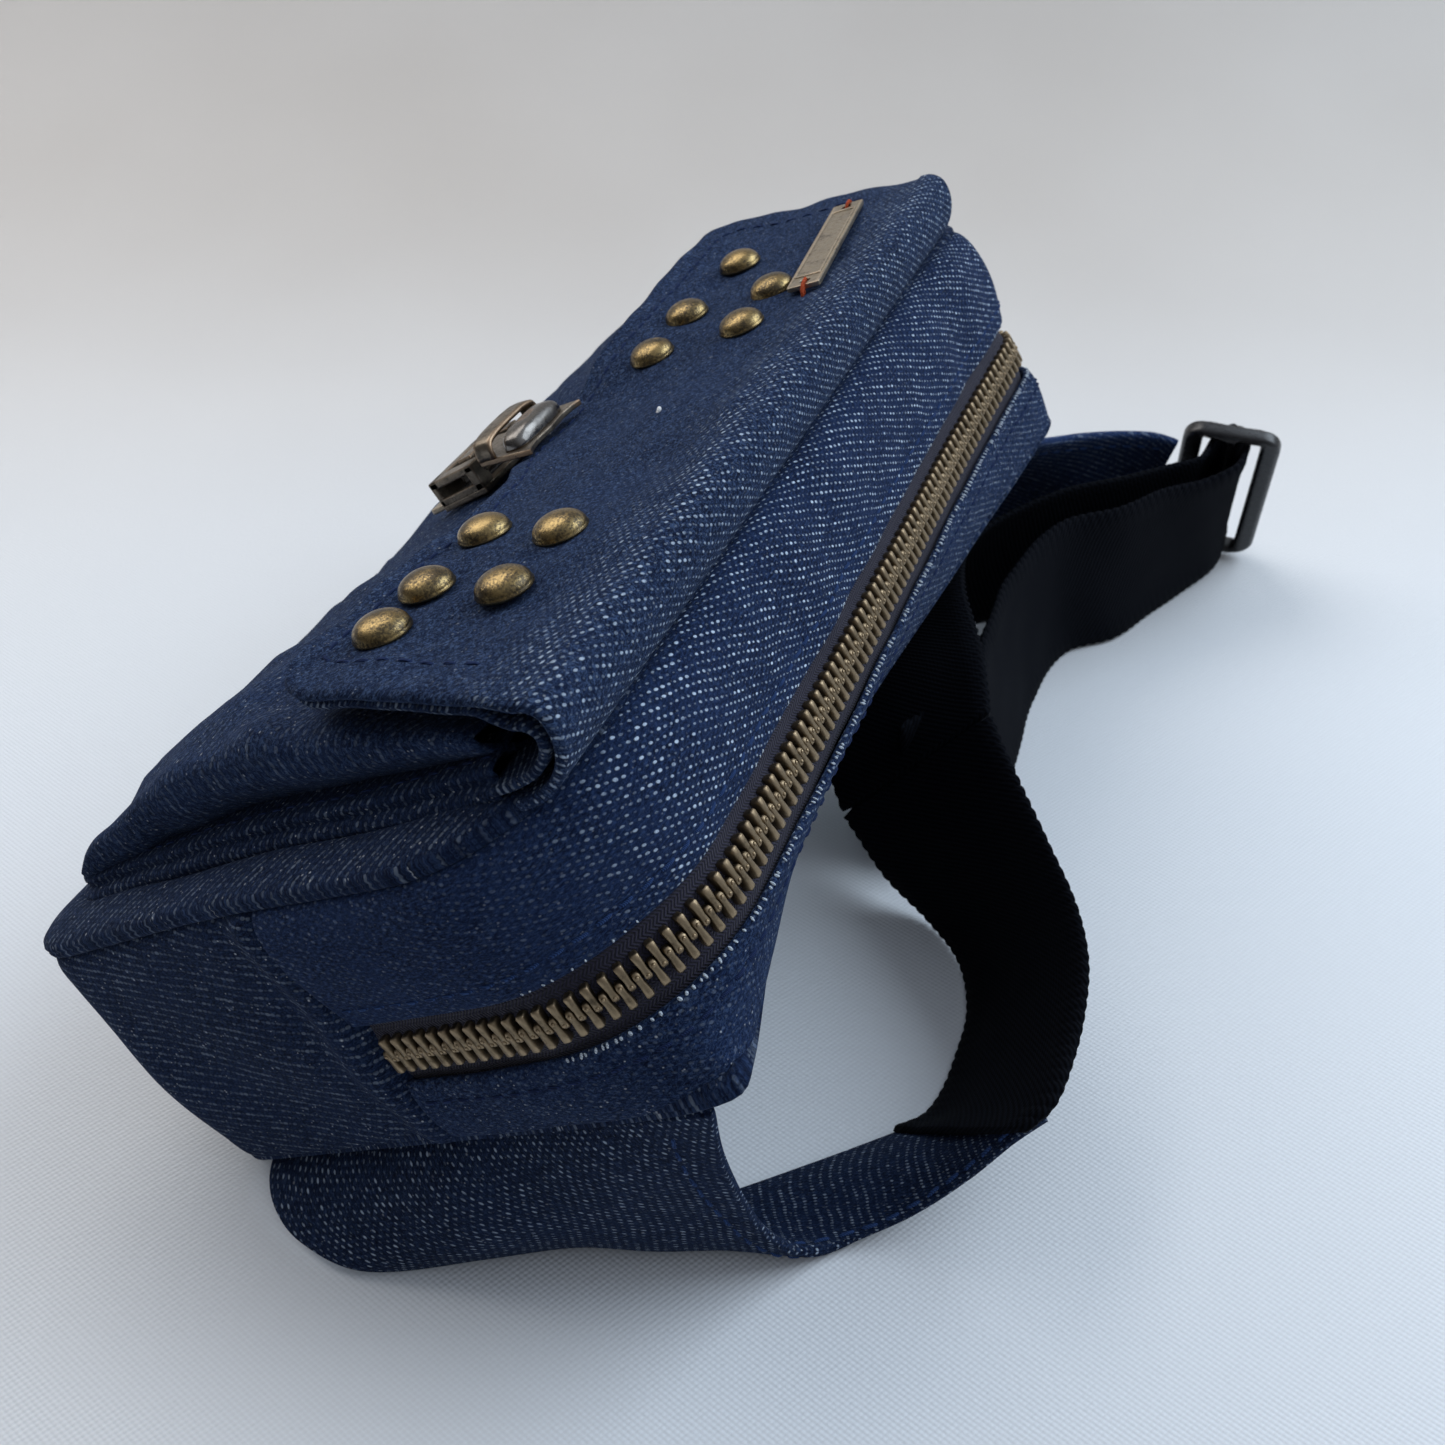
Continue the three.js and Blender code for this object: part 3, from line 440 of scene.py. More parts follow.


# key: angle, rows, heather, fleck, tone, pitch, step, dot, fade
# tone is set piece by piece and paints light and shade: lit pieces such as top and wing_far get a
# lighter indigo, shaded ones such as end, gusset, inner and wing a darker one
DENIMS = {
    "top": (-26, 0.88, 0.20, 0.25, 1.08, 1.20, 1.22, 0.235, (0, (46, 66), (0.12, 1))),
    "hem": (-27, 0.36, 0.42, 0.75, 0.95, 1.22, 1.32, 0.25, (0, (60, 100), (0.3, 1))),
    "flap": (30, 0.66, 0.62, 0.35, 0.74, 1.22, 1.25, 0.245, (1, (-36, -18), (0.05, 1))),
    "end": (-20, 0.16, 0.22, 0.85, 0.72, 1.6),
    "gusset": (-20, 0.18, 0.24, 0.85, 0.72, 1.6),
    "front": (30, 0.16, 0.22, 0.8, 0.70, 1.6),
    "pocket": (24, 0.10, 0.45, 0.6, 0.85, 1.6),
    "inner": (30, 0.30, 0.30, 0.5, 0.60, 1.25),
    "wing": (29, 0.50, 0.25, 0.40, 0.60, 1.22, 1.25, 0.23),
    "wing_inner": (-48, 0.34, 0.22, 0.3, 0.60, 1.25, 1.30, 0.25),
    "wing_far": (-24, 0.30, 0.20, 0.25, 1.7, 1.45, 0.85, 0.28),
}
# key: name, bright, dark, rough, speck, colour of the convex edges (rubbed metal and a painted
# highlight), reach of the tarnish
METALS = {
    "teeth": ("teeth_brass", (0.215, 0.165, 0.105), (0.070, 0.054, 0.036),
              0.42, 1.1, (0.36, 0.27, 0.17)),
    "stud": ("stud_brass", (0.28, 0.20, 0.088), (0.068, 0.054, 0.036),
             0.28, 2.6, (0.42, 0.30, 0.15), (0.50, 0.68)),
    "lock": ("lock_gunmetal", (0.185, 0.155, 0.12), (0.060, 0.052, 0.045),
             0.33, 0.8, (0.32, 0.21, 0.13)),
    "cabochon": ("cabochon_gunmetal", (0.17, 0.16, 0.15), (0.085, 0.08, 0.078),
                 0.22, 0.35, (0.30, 0.19, 0.12)),
    "plate": ("plate_nickel", (0.34, 0.29, 0.22), (0.13, 0.11, 0.09),
              0.38, 1.2, (0.55, 0.44, 0.32)),
    "steel": ("spring_steel", (0.5, 0.5, 0.5), (0.3, 0.3, 0.3), 0.3, 1.0, (0.7, 0.7, 0.7)),
}
# key: name, dark, light
THREADS = {
    "blue": ("thread_blue", (0.008, 0.018, 0.060), (0.030, 0.068, 0.19)),
    "navy": ("thread_navy", (0.005, 0.010, 0.034), (0.016, 0.032, 0.100)),
    "orange": ("thread_orange", (0.20, 0.025, 0.010), (0.50, 0.09, 0.03)),
    "pink": ("thread_pink", (0.55, 0.30, 0.32), (0.80, 0.55, 0.56)),
    "weft": ("weft_pale", (0.30, 0.36, 0.44), (0.62, 0.68, 0.74)),
    "lint": ("lint_white", (0.55, 0.56, 0.58), (0.85, 0.86, 0.88)),
}
MATS = {key: denim("denim_" + key, *row) for key, row in DENIMS.items()}
MATS["tape"] = tape_material("zip_tape_cloth")
MATS.update({key: antique(*row) for key, row in METALS.items()})
MATS["web"] = webbing_material("webbing_black")
MATS.update({key: thread(*row) for key, row in THREADS.items()})
MATS["plastic"] = plastic_material("moulded_black")


# ---------------------------------------------------------------- mesh helpers
def new_mesh(name, verts, faces, materials, uv=None, smooth=True):
    mesh = bpy.data.meshes.new(name)
    mesh.from_pydata([tuple(v) for v in verts], [], [tuple(int(i) for i in f) for f in faces])
    mesh.validate()
    if uv is not None:
        layer = mesh.uv_layers.new(name="mm")
        index = np.empty(len(mesh.loops), np.int64)
        mesh.loops.foreach_get("vertex_index", index)
        layer.data.foreach_set("uv", np.asarray(uv, float)[index].ravel())
    for mat in materials:
        mesh.materials.append(mat)
    mesh.polygons.foreach_set("use_smooth", [smooth] * len(mesh.polygons))
    return mesh


def tidy(mesh, merge=None):
    """Turn the faces outwards, after merging points closer than `merge`."""
    bm = bmesh.new()
    bm.from_mesh(mesh)
    if merge:
        bmesh.ops.remove_doubles(bm, verts=bm.verts, dist=merge)
    bmesh.ops.recalc_face_normals(bm, faces=bm.faces)
    bm.to_mesh(mesh)
    bm.free()


def new_object(name, data):
    ob = bpy.data.objects.new(name, data)
    bpy.context.collection.objects.link(ob)
    return ob


def piece(name, verts, faces, mat, body, uv=None, smooth=True, replaces=()):
    """Add a mesh in scene metres that rides on a body, if it has one."""
    materials = mat if isinstance(mat, list) else [mat]
    mesh = new_mesh(name, verts, faces, materials, uv, smooth)
    tidy(mesh)
    ob = new_object(name, mesh)
    if body:
        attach(ob, body)
    if replaces:
        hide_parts(*replaces)
    return ob


def bmesh_lists(bm):
    """Points and faces of a bmesh, which is freed."""
    verts = np.array([v.co[:] for v in bm.verts])
    faces = [tuple(v.index for v in f.verts) for f in bm.faces]
    bm.free()
    return verts, faces


def grid_normals(grid):
    n = np.cross(np.gradient(grid, axis=0), np.gradient(grid, axis=1))
    return n / np.maximum(np.linalg.norm(n, axis=-1, keepdims=True), 1e-9)


def grid_faces(m, n, base=0, flip=False):
    at = np.arange(m * n).reshape(m, n) + base
    a, b, c, d = (part.ravel() for part in (at[:-1, :-1], at[1:, :-1], at[1:, 1:], at[:-1, 1:]))
    return np.stack([a, d, c, b] if flip else [a, b, c, d], -1)


def slab(outer, thick, sign, uv, rim=0.35):
    """Closed sheet: thickness is laid on the sign side of a grid, with a rounded rim."""
    m, n = outer.shape[:2]
    inner = outer + grid_normals(outer) * sign * thick
    mid = (outer + inner) / 2
    loop = [(i, 0) for i in range(m)] + [(m - 1, j) for j in range(1, n)]
    loop += [(i, n - 1) for i in range(m - 2, -1, -1)] + [(0, j) for j in range(n - 2, 0, -1)]
    rim_points, rim_uv, rim_faces = [], [], []
    base = 2 * m * n
    for q, (i, j) in enumerate(loop):
        out = np.zeros(3)
        if i == 0:
            out += mid[0, j] - mid[1, j]
        if i == m - 1:
            out += mid[-1, j] - mid[-2, j]
        if j == 0:
            out += mid[i, 0] - mid[i, 1]
        if j == n - 1:
            out += mid[i, -1] - mid[i, -2]
        rim_points.append(mid[i, j] + unit(out) * thick * rim)
        rim_uv.append(uv[i, j] + [thick * 0.5, thick * 0.5])
        q_next = (q + 1) % len(loop)
        here, there = i * n + j, loop[q_next][0] * n + loop[q_next][1]
        rim_faces.append((here, there, base + q_next, base + q))
        rim_faces.append((base + q, base + q_next, there + m * n, here + m * n))
    verts = np.vstack([outer.reshape(-1, 3), inner.reshape(-1, 3), rim_points])
    faces = np.vstack([grid_faces(m, n), grid_faces(m, n, m * n, flip=True), rim_faces])
    return verts, faces, np.vstack([uv.reshape(-1, 2), uv.reshape(-1, 2), rim_uv])


def arc_uv(grid):
    """Cloth coordinates from the mean lengths along both ways of a grid."""
    du = np.r_[0, np.cumsum(np.linalg.norm(np.diff(grid, axis=0), axis=2).mean(1))]
    dv = np.r_[0, np.cumsum(np.linalg.norm(np.diff(grid, axis=1), axis=2).mean(0))]
    return np.stack(np.meshgrid(du, dv, indexing="ij"), -1)


def cloth(name, grid, thick, sign, mat, replaces, body="bag", uv=None, swap=False):
    """Sheet of cloth in the bag frame; swap turns the cloth coordinates."""
    if uv is None:
        uv = arc_uv(grid)
    if swap:
        uv = uv[..., ::-1]
    verts, faces, uv = slab(grid, thick, sign, uv)
    return piece(name, from_bag(verts), faces, mat, body, uv, replaces=replaces)


def turns(count):
    return [2 * math.pi * k / count for k in range(count)]


def tube_faces(rings, sides, base=0, capped=True):
    """Faces over stacked rings of points."""
    faces = []
    for i in range(rings - 1):
        for k in range(sides):
            a, b = base + i * sides + k, base + i * sides + (k + 1) % sides
            faces.append((a, b, b + sides, a + sides))
    if capped:
        last = base + (rings - 1) * sides
        faces.append(tuple(range(base, base + sides))[::-1])
        faces.append(tuple(range(last, last + sides)))
    return faces


def tube(points, radius, sides=8):
    """Rounded cord along a spline, thinner at its ends."""
    line = spline(points, 28)
    tangent = np.gradient(line, axis=0)
    verts = []
    for i in range(len(line)):
        a = unit(np.cross(unit(tangent[i]), [0.31, 0.2, 0.93]))
        b = np.cross(unit(tangent[i]), a)
        width = radius * min(1, 0.5 + min(i, len(line) - 1 - i) * 0.4)
        verts += [line[i] + width * (a * math.cos(t) + b * math.sin(t)) for t in turns(sides)]
    return np.array(verts), tube_faces(len(line), sides)


def line_frame(path, normals, run, at, reach):
    """Point, normal, tangent and sideways direction on a line."""
    normal = unit(sample(normals, run, at))
    ahead = sample(path, run, min(at + reach, run[-1]))
    tangent = unit(ahead - sample(path, run, max(at - reach, 0)))
    return sample(path, run, at), normal, tangent, np.cross(normal, tangent)


# (place along, share of the radius)
STITCH = [
    (-1.0, 0.0), (-0.96, 0.55), (-0.8, 0.9), (-0.4, 1.0),
    (0.4, 1.0), (0.8, 0.9), (0.96, 0.55), (1.0, 0.0),
]
KNOT = [(-1.0, 0.15), (-0.7, 0.72), (0.0, 1.0), (0.7, 0.72), (1.0, 0.15)]


def stitches(
    name, path, normals, mat, body, seed,
    length=2.7, gap=0.9, radius=0.30, lift=0.10, to=from_bag,
):
    """A row of sewing stitches along a dense path; normals point out of the cloth."""
    run = run_length(path)
    rng = np.random.RandomState(seed)
    verts, faces = [], []
    at = gap
    while at + length < run[-1] - gap / 2:
        start, long = at + rng.uniform(-0.12, 0.12), length * rng.uniform(0.9, 1.06)
        skew = rng.uniform(-0.14, 0.14)
        faces += tube_faces(len(STITCH), 6, len(verts), capped=False)
        for a, share in STITCH:
            here = start + long * (a + 1) / 2
            p, normal, _, side = line_frame(path, normals, run, here, 0.3)
            dip = lift - 0.36 * abs(a) ** 3
            w = share * radius
            for t in turns(6):
                out = normal * (dip + w * math.sin(t))
                verts.append(p + side * (w * math.cos(t) + skew * a) + out)
        at += length + gap
    piece(name, to(np.array(verts)), faces, mat, body)


def weft_ends(name, path, normals, step, radius, seed, keep):
    """Cut weft ends along an edge: small pale knots, of which a share is kept."""
    run = run_length(path)
    rng = np.random.RandomState(seed)
    verts, faces = [], []
    at = step
    while at < run[-1] - step:
        here = at + rng.uniform(-0.3, 0.3) * step
        at += step
        if rng.uniform() > keep:
            continue
        p, normal, tangent, side = line_frame(path, normals, run, here, 0.4)
        angle = rng.uniform(-0.5, 0.5)
        along = side * math.cos(angle) + tangent * math.sin(angle)
        across = np.cross(normal, along)
        width, half = radius * rng.uniform(0.7, 1.15), radius * rng.uniform(1.1, 1.9)
        faces += tube_faces(len(KNOT), 6, len(verts))
        for a, share in KNOT:
            w = width * share
            for t in turns(6):
                out = normal * (0.02 + 0.7 * w * math.sin(t))
                verts.append(p + along * (a * half) + across * (w * math.cos(t)) + out)
    piece(name, from_bag(np.array(verts)), faces, MATS["weft"], "bag")


def boxes(name, items, mat, body, to, bevel, segments, replaces=()):
    """Bevelled blocks joined in one piece: items are (low, high) corners."""
    bm = bmesh.new()
    for lo, hi in items:
        for v in bmesh.ops.create_cube(bm, size=1)["verts"]:
            v.co = Vector([(lo[k] + hi[k]) / 2 + v.co[k] * (hi[k] - lo[k]) for k in range(3)])
    bmesh.ops.bevel(
        bm, geom=list(bm.edges), offset=bevel, segments=segments,
        profile=0.6, affect="EDGES", clamp_overlap=True,
    )
    verts, faces = bmesh_lists(bm)
    piece(name, to(verts), faces, mat, body, replaces=replaces, smooth=False)


def outline_plate(
    name, loops, thick, bevel, mat, body, to,
    shift=(0, 0, 0), replaces=(), steps=3, smooth=False,
):
    """Flat bevelled part: the first outline is the outside, the others are holes."""
    curve = bpy.data.curves.new(name + "_c", "CURVE")
    curve.dimensions = "2D"
    curve.fill_mode = "BOTH"
    curve.extrude = max(thick / 2 - bevel, 0.01)
    curve.bevel_depth = bevel
    curve.bevel_resolution = steps
    curve.offset = -bevel
    for loop in loops:
        line = curve.splines.new("POLY")
        line.points.add(len(loop) - 1)
        for point, (a, b) in zip(line.points, loop):
            point.co = (a, b, 0, 1)
        line.use_cyclic_u = True
    ob = new_object(name + "_c", curve)
    graph = bpy.context.evaluated_depsgraph_get()
    mesh = bpy.data.meshes.new_from_object(ob.evaluated_get(graph))
    bpy.data.objects.remove(ob)
    bm = bmesh.new()
    bm.from_mesh(mesh)
    bmesh.ops.remove_doubles(bm, verts=bm.verts, dist=1e-4)
    bm.verts.index_update()
    verts, faces = bmesh_lists(bm)
    piece(name, to(verts + shift), faces, mat, body, replaces=replaces, smooth=smooth)


def rounded_rect(w, h, r, steps=6, cy=0.0):
    out = []
    for sx, sy, start in ((1, 1, 0), (-1, 1, 90), (-1, -1, 180), (1, -1, 270)):
        for k in range(steps + 1):
            a = math.radians(start + 90 * k / steps)
            out.append((sx * (w / 2 - r) + r * math.cos(a), cy + sy * (h / 2 - r) + r * math.sin(a)))
    return out


# ------------------------------------------------------------ loop round the bag
# The run goes up the near end, over the top, down the far end and back underneath.
NEAR_STRAIGHT = HEIGHT - NEAR_R - BAND_END
FAR_STRAIGHT = HEIGHT - FAR_R - BAND_END
NEAR_ARC, FAR_ARC, BOTTOM_ARC = (math.pi / 2 * r for r in (NEAR_R, FAR_R, BOTTOM_R))
TOP_STRAIGHT = WIDTH - NEAR_R - FAR_R
ZIP_RUN = NEAR_STRAIGHT + NEAR_ARC + TOP_STRAIGHT + FAR_ARC + FAR_STRAIGHT
LOWER = BAND_END - BOTTOM_R
BOTTOM_STRAIGHT = WIDTH - 2 * BOTTOM_R
GUSSET_RUN = 2 * LOWER + 2 * BOTTOM_ARC + BOTTOM_STRAIGHT
LOOP_RUN = ZIP_RUN + GUSSET_RUN
CUTS = np.cumsum([
    0, NEAR_STRAIGHT, NEAR_ARC, TOP_STRAIGHT, FAR_ARC, FAR_STRAIGHT,
    LOWER, BOTTOM_ARC, BOTTOM_STRAIGHT, BOTTOM_ARC, LOWER,
])
# stretch of the loop: centre x and z, radius, starting angle
CORNERS = {
    1: (NEAR_R, HEIGHT - NEAR_R, NEAR_R, 180),
    3: (WIDTH - FAR_R, HEIGHT - FAR_R, FAR_R, 90),
    6: (WIDTH - BOTTOM_R, BOTTOM_R, BOTTOM_R, 0),
    8: (BOTTOM_R, BOTTOM_R, BOTTOM_R, -90),
}


def ring(s):
    """x, z and outward normal of the loop at the run s."""
    s = np.asarray(s, float) % LOOP_RUN
    x, z, nx, nz = (np.zeros_like(s) for _ in range(4))
    for k in range(10):
        m = (s >= CUTS[k]) & (s <= CUTS[k + 1] + 1e-9)
        t = s[m] - CUTS[k]
        if k in (0, 9):
            x[m], z[m], nx[m], nz[m] = 0, (BAND_END if k == 0 else BOTTOM_R) + t, -1, 0
        elif k in (4, 5):
            start = HEIGHT - FAR_R if k == 4 else BAND_END
            x[m], z[m], nx[m], nz[m] = WIDTH, start - t, 1, 0
        elif k == 2:
            x[m], z[m], nx[m], nz[m] = NEAR_R + t, HEIGHT, 0, 1
        elif k == 7:
            x[m], z[m], nx[m], nz[m] = WIDTH - BOTTOM_R - t, 0, 0, -1
        else:
            cx, cz, r, start = CORNERS[k]
            a = np.radians(start) - t / r
            nx[m], nz[m] = np.cos(a), np.sin(a)
            x[m], z[m] = cx + r * nx[m], cz + r * nz[m]
    # the far end is stuffed out towards its top
    stuffed = ease(WIDTH - 60, WIDTH, x) * ease(84, 113, z)
    return x + 4.2 * stuffed, z + 1.6 * stuffed, nx, nz


# The back panel's top edge has slumped: (run, x, z).
BACK_EDGE = spline([
    (0, 0, 60.6), (20, 0, 80), (32, 0.2, 94), (42, 1.0, 106), (48, 3.4, 112.6),
    (54, 9, 112.2), (69.4, 25, 107.5), (89, 45, 101.5), (104, 60, 99.0), (124, 80, 99.6),
    (144, 100, 102.0), (175, 131, 107.2), (194, 150, 110.0), (211, 167, 113.0),
    (226, 184, 115.4),
], 300)


def slump(s):
    """Offset in x and z of the back edge from the loop."""
    s = np.asarray(s, float) % LOOP_RUN
    x, z, _, _ = ring(s)
    k = (s < 226).astype(float)
    dx = (np.interp(s, BACK_EDGE[:, 0], BACK_EDGE[:, 1]) - x) * k
    dz = (np.interp(s, BACK_EDGE[:, 0], BACK_EDGE[:, 2]) - z) * k
    return dx, dz


def front_puff(grid):
    """The lower front edge stands a little further forward."""
    y, z = grid[..., 1], grid[..., 2]
    grid = grid.copy()
    grid[..., 1] += 3.1 * (1 - ease(40, 102, z)) * ease(26, 45.5, y) * (1 - ease(52, 60, y))
    return grid


def band_grid(s, profile, amp, wave, seed, shift=None):
    """Band round the loop: profile rows are (y, outward offset)."""
    x, z, nx, nz = ring(s)
    y = np.repeat(profile[:, :1], len(s), 1)
    out = np.repeat(profile[:, 1:2], len(s), 1)
    if shift is not None:
        dy, dout = shift(y, s[None, :])
        y, out = y + dy, out + dout
    grid = np.stack([x + nx * out, y, z + nz * out], -1)
    dx, dz = slump(s)
    k = np.clip((12.6 - y) / 12.6, 0, 1) ** 1.05
    grid[..., 0] += k * dx
    grid[..., 2] += k * dz
    grid = front_puff(grid)
    t = np.linspace(0, 1, len(profile))[:, None]
    d = wobble(grid, amp, wave, seed) * np.sin(np.pi * np.clip(t * 1.04 - 0.02, 0, 1)) ** 0.6
    return grid + np.stack([nx * d, 0 * d, nz * d], -1)


def facing_out(normals, nx, nz):
    """Normals along a loop, turned to its outside."""
    return normals * np.sign((normals[:, 0] * nx + normals[:, 2] * nz).mean())


def band_line(s, y, band):
    """Line along the upper side of a band at depth y, with its normals."""
    grid, profile = band_grid(s, *band), band[0]
    row = np.argmin(np.abs(profile[:, 0] - y) + (profile[:, 1] < 0.3) * 9)
    _, _, nx, nz = ring(s)
    return grid[row], facing_out(grid_normals(grid)[row], nx, nz)


# -------------------------------------------------------------- zip panels, gusset
def crest(y, s):
    """Raise the front zip panel towards its front edge, along the bag's top."""
    a, b = NEAR_STRAIGHT + 0.25 * NEAR_ARC, NEAR_STRAIGHT + 1.15 * NEAR_ARC
    top = ease(a, b, s) * (1 - ease(ZIP_RUN - b, ZIP_RUN - a, s))
    k = ease(30, 46, y)
    return 2.3 * top * k, top * (0.5 * np.sin(np.pi * np.clip((y - 27) / 19, 0, 1)) + 0.9 * k)


def tuck(y, s):
    """Tuck the gusset's ends in under the zip panels."""
    inside = np.minimum(s - ZIP_RUN, LOOP_RUN - s)
    lip = 1 - ease(-0.9, 0.9, inside)
    groove, ridge = np.exp(-((inside - 9) ** 2) / 7), np.exp(-((inside - 3.6) ** 2) / 6)
    return 0, -3.0 * lip - 0.5 * groove + 1.0 * ridge


# bands: profile of (y, outward offset), then wobble amp, wave and seed, and the shift
FRONT_BAND = (spline([
    (28.5, -1.3), (25.6, -1.0), (24.9, -0.2), (25.5, 0.7), (28.2, 1.3), (32, 2.1),
    (37, 2.6), (41.5, 2.2), (44.2, 1.3), (45.6, 0.2), (45.9, -1.0), (45.7, -2.4),
], 50), 0.5, 26, 3, crest)
BACK_BAND = (spline([
    (-0.3, -2.0), (0.1, -0.9), (1.4, 0.2), (5, 1.0), (9.4, 1.2), (12.2, 0.9),
    (13.3, 0.3), (12.9, -0.7), (10.5, -1.0),
], 34), 0.3, 20, 5)
GUSSET_BAND = (spline([
    (-0.3, -2.0), (0.1, -0.7), (2, 0.5), (8, 1.2), (16, 1.7), (24, 1.9), (33, 1.7),
    (40, 1.3), (43.6, 0.9), (45.3, 0.1), (45.9, -1.0), (45.7, -2.4),
], 50), 0.85, 30, 11, tuck)
zip_s = np.clip(np.linspace(-0.2, ZIP_RUN + 0.2, 340), 0, ZIP_RUN)
gusset_s = np.linspace(ZIP_RUN - 1.9, LOOP_RUN + 1.9, 320)
for node, s, band, key in (
    ("zip_panel_front", zip_s, FRONT_BAND, "top"),
    ("zip_panel_back", zip_s, BACK_BAND, "hem"),
    ("bottom_gusset", gusset_s, GUSSET_BAND, "gusset"),
):
    cloth(node + "_cloth", band_grid(s, *band), 0.8, 1, MATS[key], (node,), swap=True)


# ------------------------------------------------------------ front and back panels
def face_cloth(name, profile, sign, mat, amp, seed, replaces):
    """Panel of concentric rings: profile rows are (inset, y)."""
    s = np.linspace(0, LOOP_RUN, 361)
    x, z, nx, nz = ring(s)
    rows = []
    for inset, y in profile:
        a = min(inset, BOTTOM_R)
        px, pz = x - nx * a, z - nz * a
        if inset > a:
            # shrink towards a line along the middle of the panel
            k = (inset - a) / (HEIGHT / 2 - a)
            line_x = np.clip(px, HEIGHT / 2, WIDTH - HEIGHT / 2)
            px, pz = px + (line_x - px) * k, pz + (HEIGHT / 2 - pz) * k
        rows.append(np.stack([px, np.full_like(px, y), pz], -1))
    grid = np.array(rows)
    insets = np.array([p[0] for p in profile])[:, None]
    if sign > 0:
        dx, dz = slump(s)
        k = np.clip(1 - insets / 56.0, 0, 1)
        grid[..., 0] += dx * k
        grid[..., 2] += dz * k
    grid = front_puff(grid)
    grid[..., 1] += wobble(grid, amp, 34, seed) * ease(1, 10, insets)
    uv = grid[..., [0, 2]].reshape(-1, 2)
    m, n = grid.shape[:2]
    other = grid + [0, sign * 1.0, 0]
    a = np.arange(n)
    b = a + m * n
    edge = np.stack([a[:-1], a[1:], b[1:], b[:-1]], -1)
    faces = np.vstack([grid_faces(m, n), grid_faces(m, n, m * n, flip=True), edge])
    verts = np.vstack([grid.reshape(-1, 3), other.reshape(-1, 3)])
    uv = np.vstack([uv, uv])
    ob = piece(name, from_bag(verts), faces, mat, "bag", uv, replaces=replaces)
    tidy(ob.data, merge=1e-6)


FRONT_PROFILE = [
    (3.0, 45.9), (1.5, 46.0), (0.5, 46.4), (-0.2, 47.0), (-0.4, 47.7), (0.0, 48.4),
    (1.1, 48.9), (2.8, 49.2), (5.0, 49.5), (7.4, 49.6), (9.4, 49.2), (11.5, 48.2),
    (14, 47.3), (24, 46.9), (40, 46.9), (57.2, 46.9),
]
BACK_PROFILE = [
    (1.0, 2.4), (0.1, 1.4), (-0.2, 0.4), (0.5, -0.3), (1.8, -0.7), (4, -0.9), (8, -1.0),
    (14, -1.0), (26, -1.0), (40, -1.0), (57.2, -1.0),
]
face_cloth(
    "front_panel_cloth", FRONT_PROFILE, -1, MATS["front"],
    amp=0.35, seed=21, replaces=("front_panel", "lining"),
)
face_cloth(
    "back_panel_cloth", BACK_PROFILE, 1, MATS["end"],
    amp=0.10, seed=22, replaces=("back_panel", "back_pad"),
)

# ------------------------------------------------------------------------- zip
for side, sign, profile in (
    ("back", 1, [(9.5, -1.6), (12, -1.3), (15.2, -0.95), (17.2, -0.6), (18.2, -0.6)]),
    ("front", -1, [(29, -1.9), (25.6, -1.3), (22.8, -0.95), (20.8, -0.6), (19.8, -0.6)]),
):
    grid = band_grid(zip_s, spline(profile, 14), 0.12, 9, 31)
    node = "zip_tape_" + side
    cloth(node + "_cloth", grid, 0.5, sign, MATS["tape"], (node,), swap=True)

# stations of one tooth from its bead to its tip: (place, half width, half height)
TOOTH = [
    (-3.25, 0.30, 0.40), (-3.2, 0.54, 0.72), (-2.95, 0.66, 0.86), (-1.9, 0.60, 0.86),
    (-0.7, 0.50, 0.80), (0.05, 0.56, 0.86), (0.6, 0.58, 0.84), (0.98, 0.44, 0.62),
    (1.08, 0.2, 0.3),
]
TOOTH_PITCH = 2.54


def signed_power(value, power):
    return np.sign(value) * abs(value) ** power


def tooth():
    """One tooth as a rounded bar with a bump near its tip: (to tip, along zip, out)."""
    verts = []
    for c, w, h in TOOTH:
        for t in turns(12):
            side, up = signed_power(math.cos(t), 0.42), signed_power(math.sin(t), 0.42)
            verts.append((c, w * side, 0.05 + h * up))
    faces = tube_faces(len(TOOTH), 12)
    top = len(verts)
    verts.append((0.35, 0, 1.12))
    for r, h in ((0.22, 1.05), (0.36, 0.84)):
        verts += [(0.35 + r * math.cos(t), r * math.sin(t), h) for t in turns(8)]
    for k in range(8):
        a, b = top + 1 + k, top + 1 + (k + 1) % 8
        faces += [(top, a, b), (a, a + 8, b + 8, b)]
    faces.append(tuple(range(top + 9, top + 17))[::-1])
    return np.array(verts), faces


tooth_verts, tooth_faces = tooth()
jitter_rng = np.random.RandomState(5)
for side, sign, start in (("back", 1, 1.6), ("front", -1, 1.6 + TOOTH_PITCH / 2)):
    verts, faces = [], []
    s = start
    while s < ZIP_RUN - 9:
        x, z, nx, nz = (v[0] for v in ring(np.array([s])))
        p, normal, tangent = np.array([[x, 0, z], [nx, 0, nz], [nz, 0, -nx]])
        jitter = jitter_rng.uniform(-0.05, 0.05, 3)
        faces += [tuple(i + len(verts) for i in f) for f in tooth_faces]
        for c, a, out in tooth_verts:
            across = np.array([0, ZIP_Y + sign * c + jitter[0], 0])
            lift = normal * (out + jitter[2] * 0.6 - 0.05)
            verts.append(p + across + tangent * (a + jitter[1]) + lift)
        s += TOOTH_PITCH
    node = "zip_teeth_" + side
    piece(
        node + "_row", from_bag(np.array(verts)), faces,
        MATS["teeth"], "bag", replaces=(node,),
    )

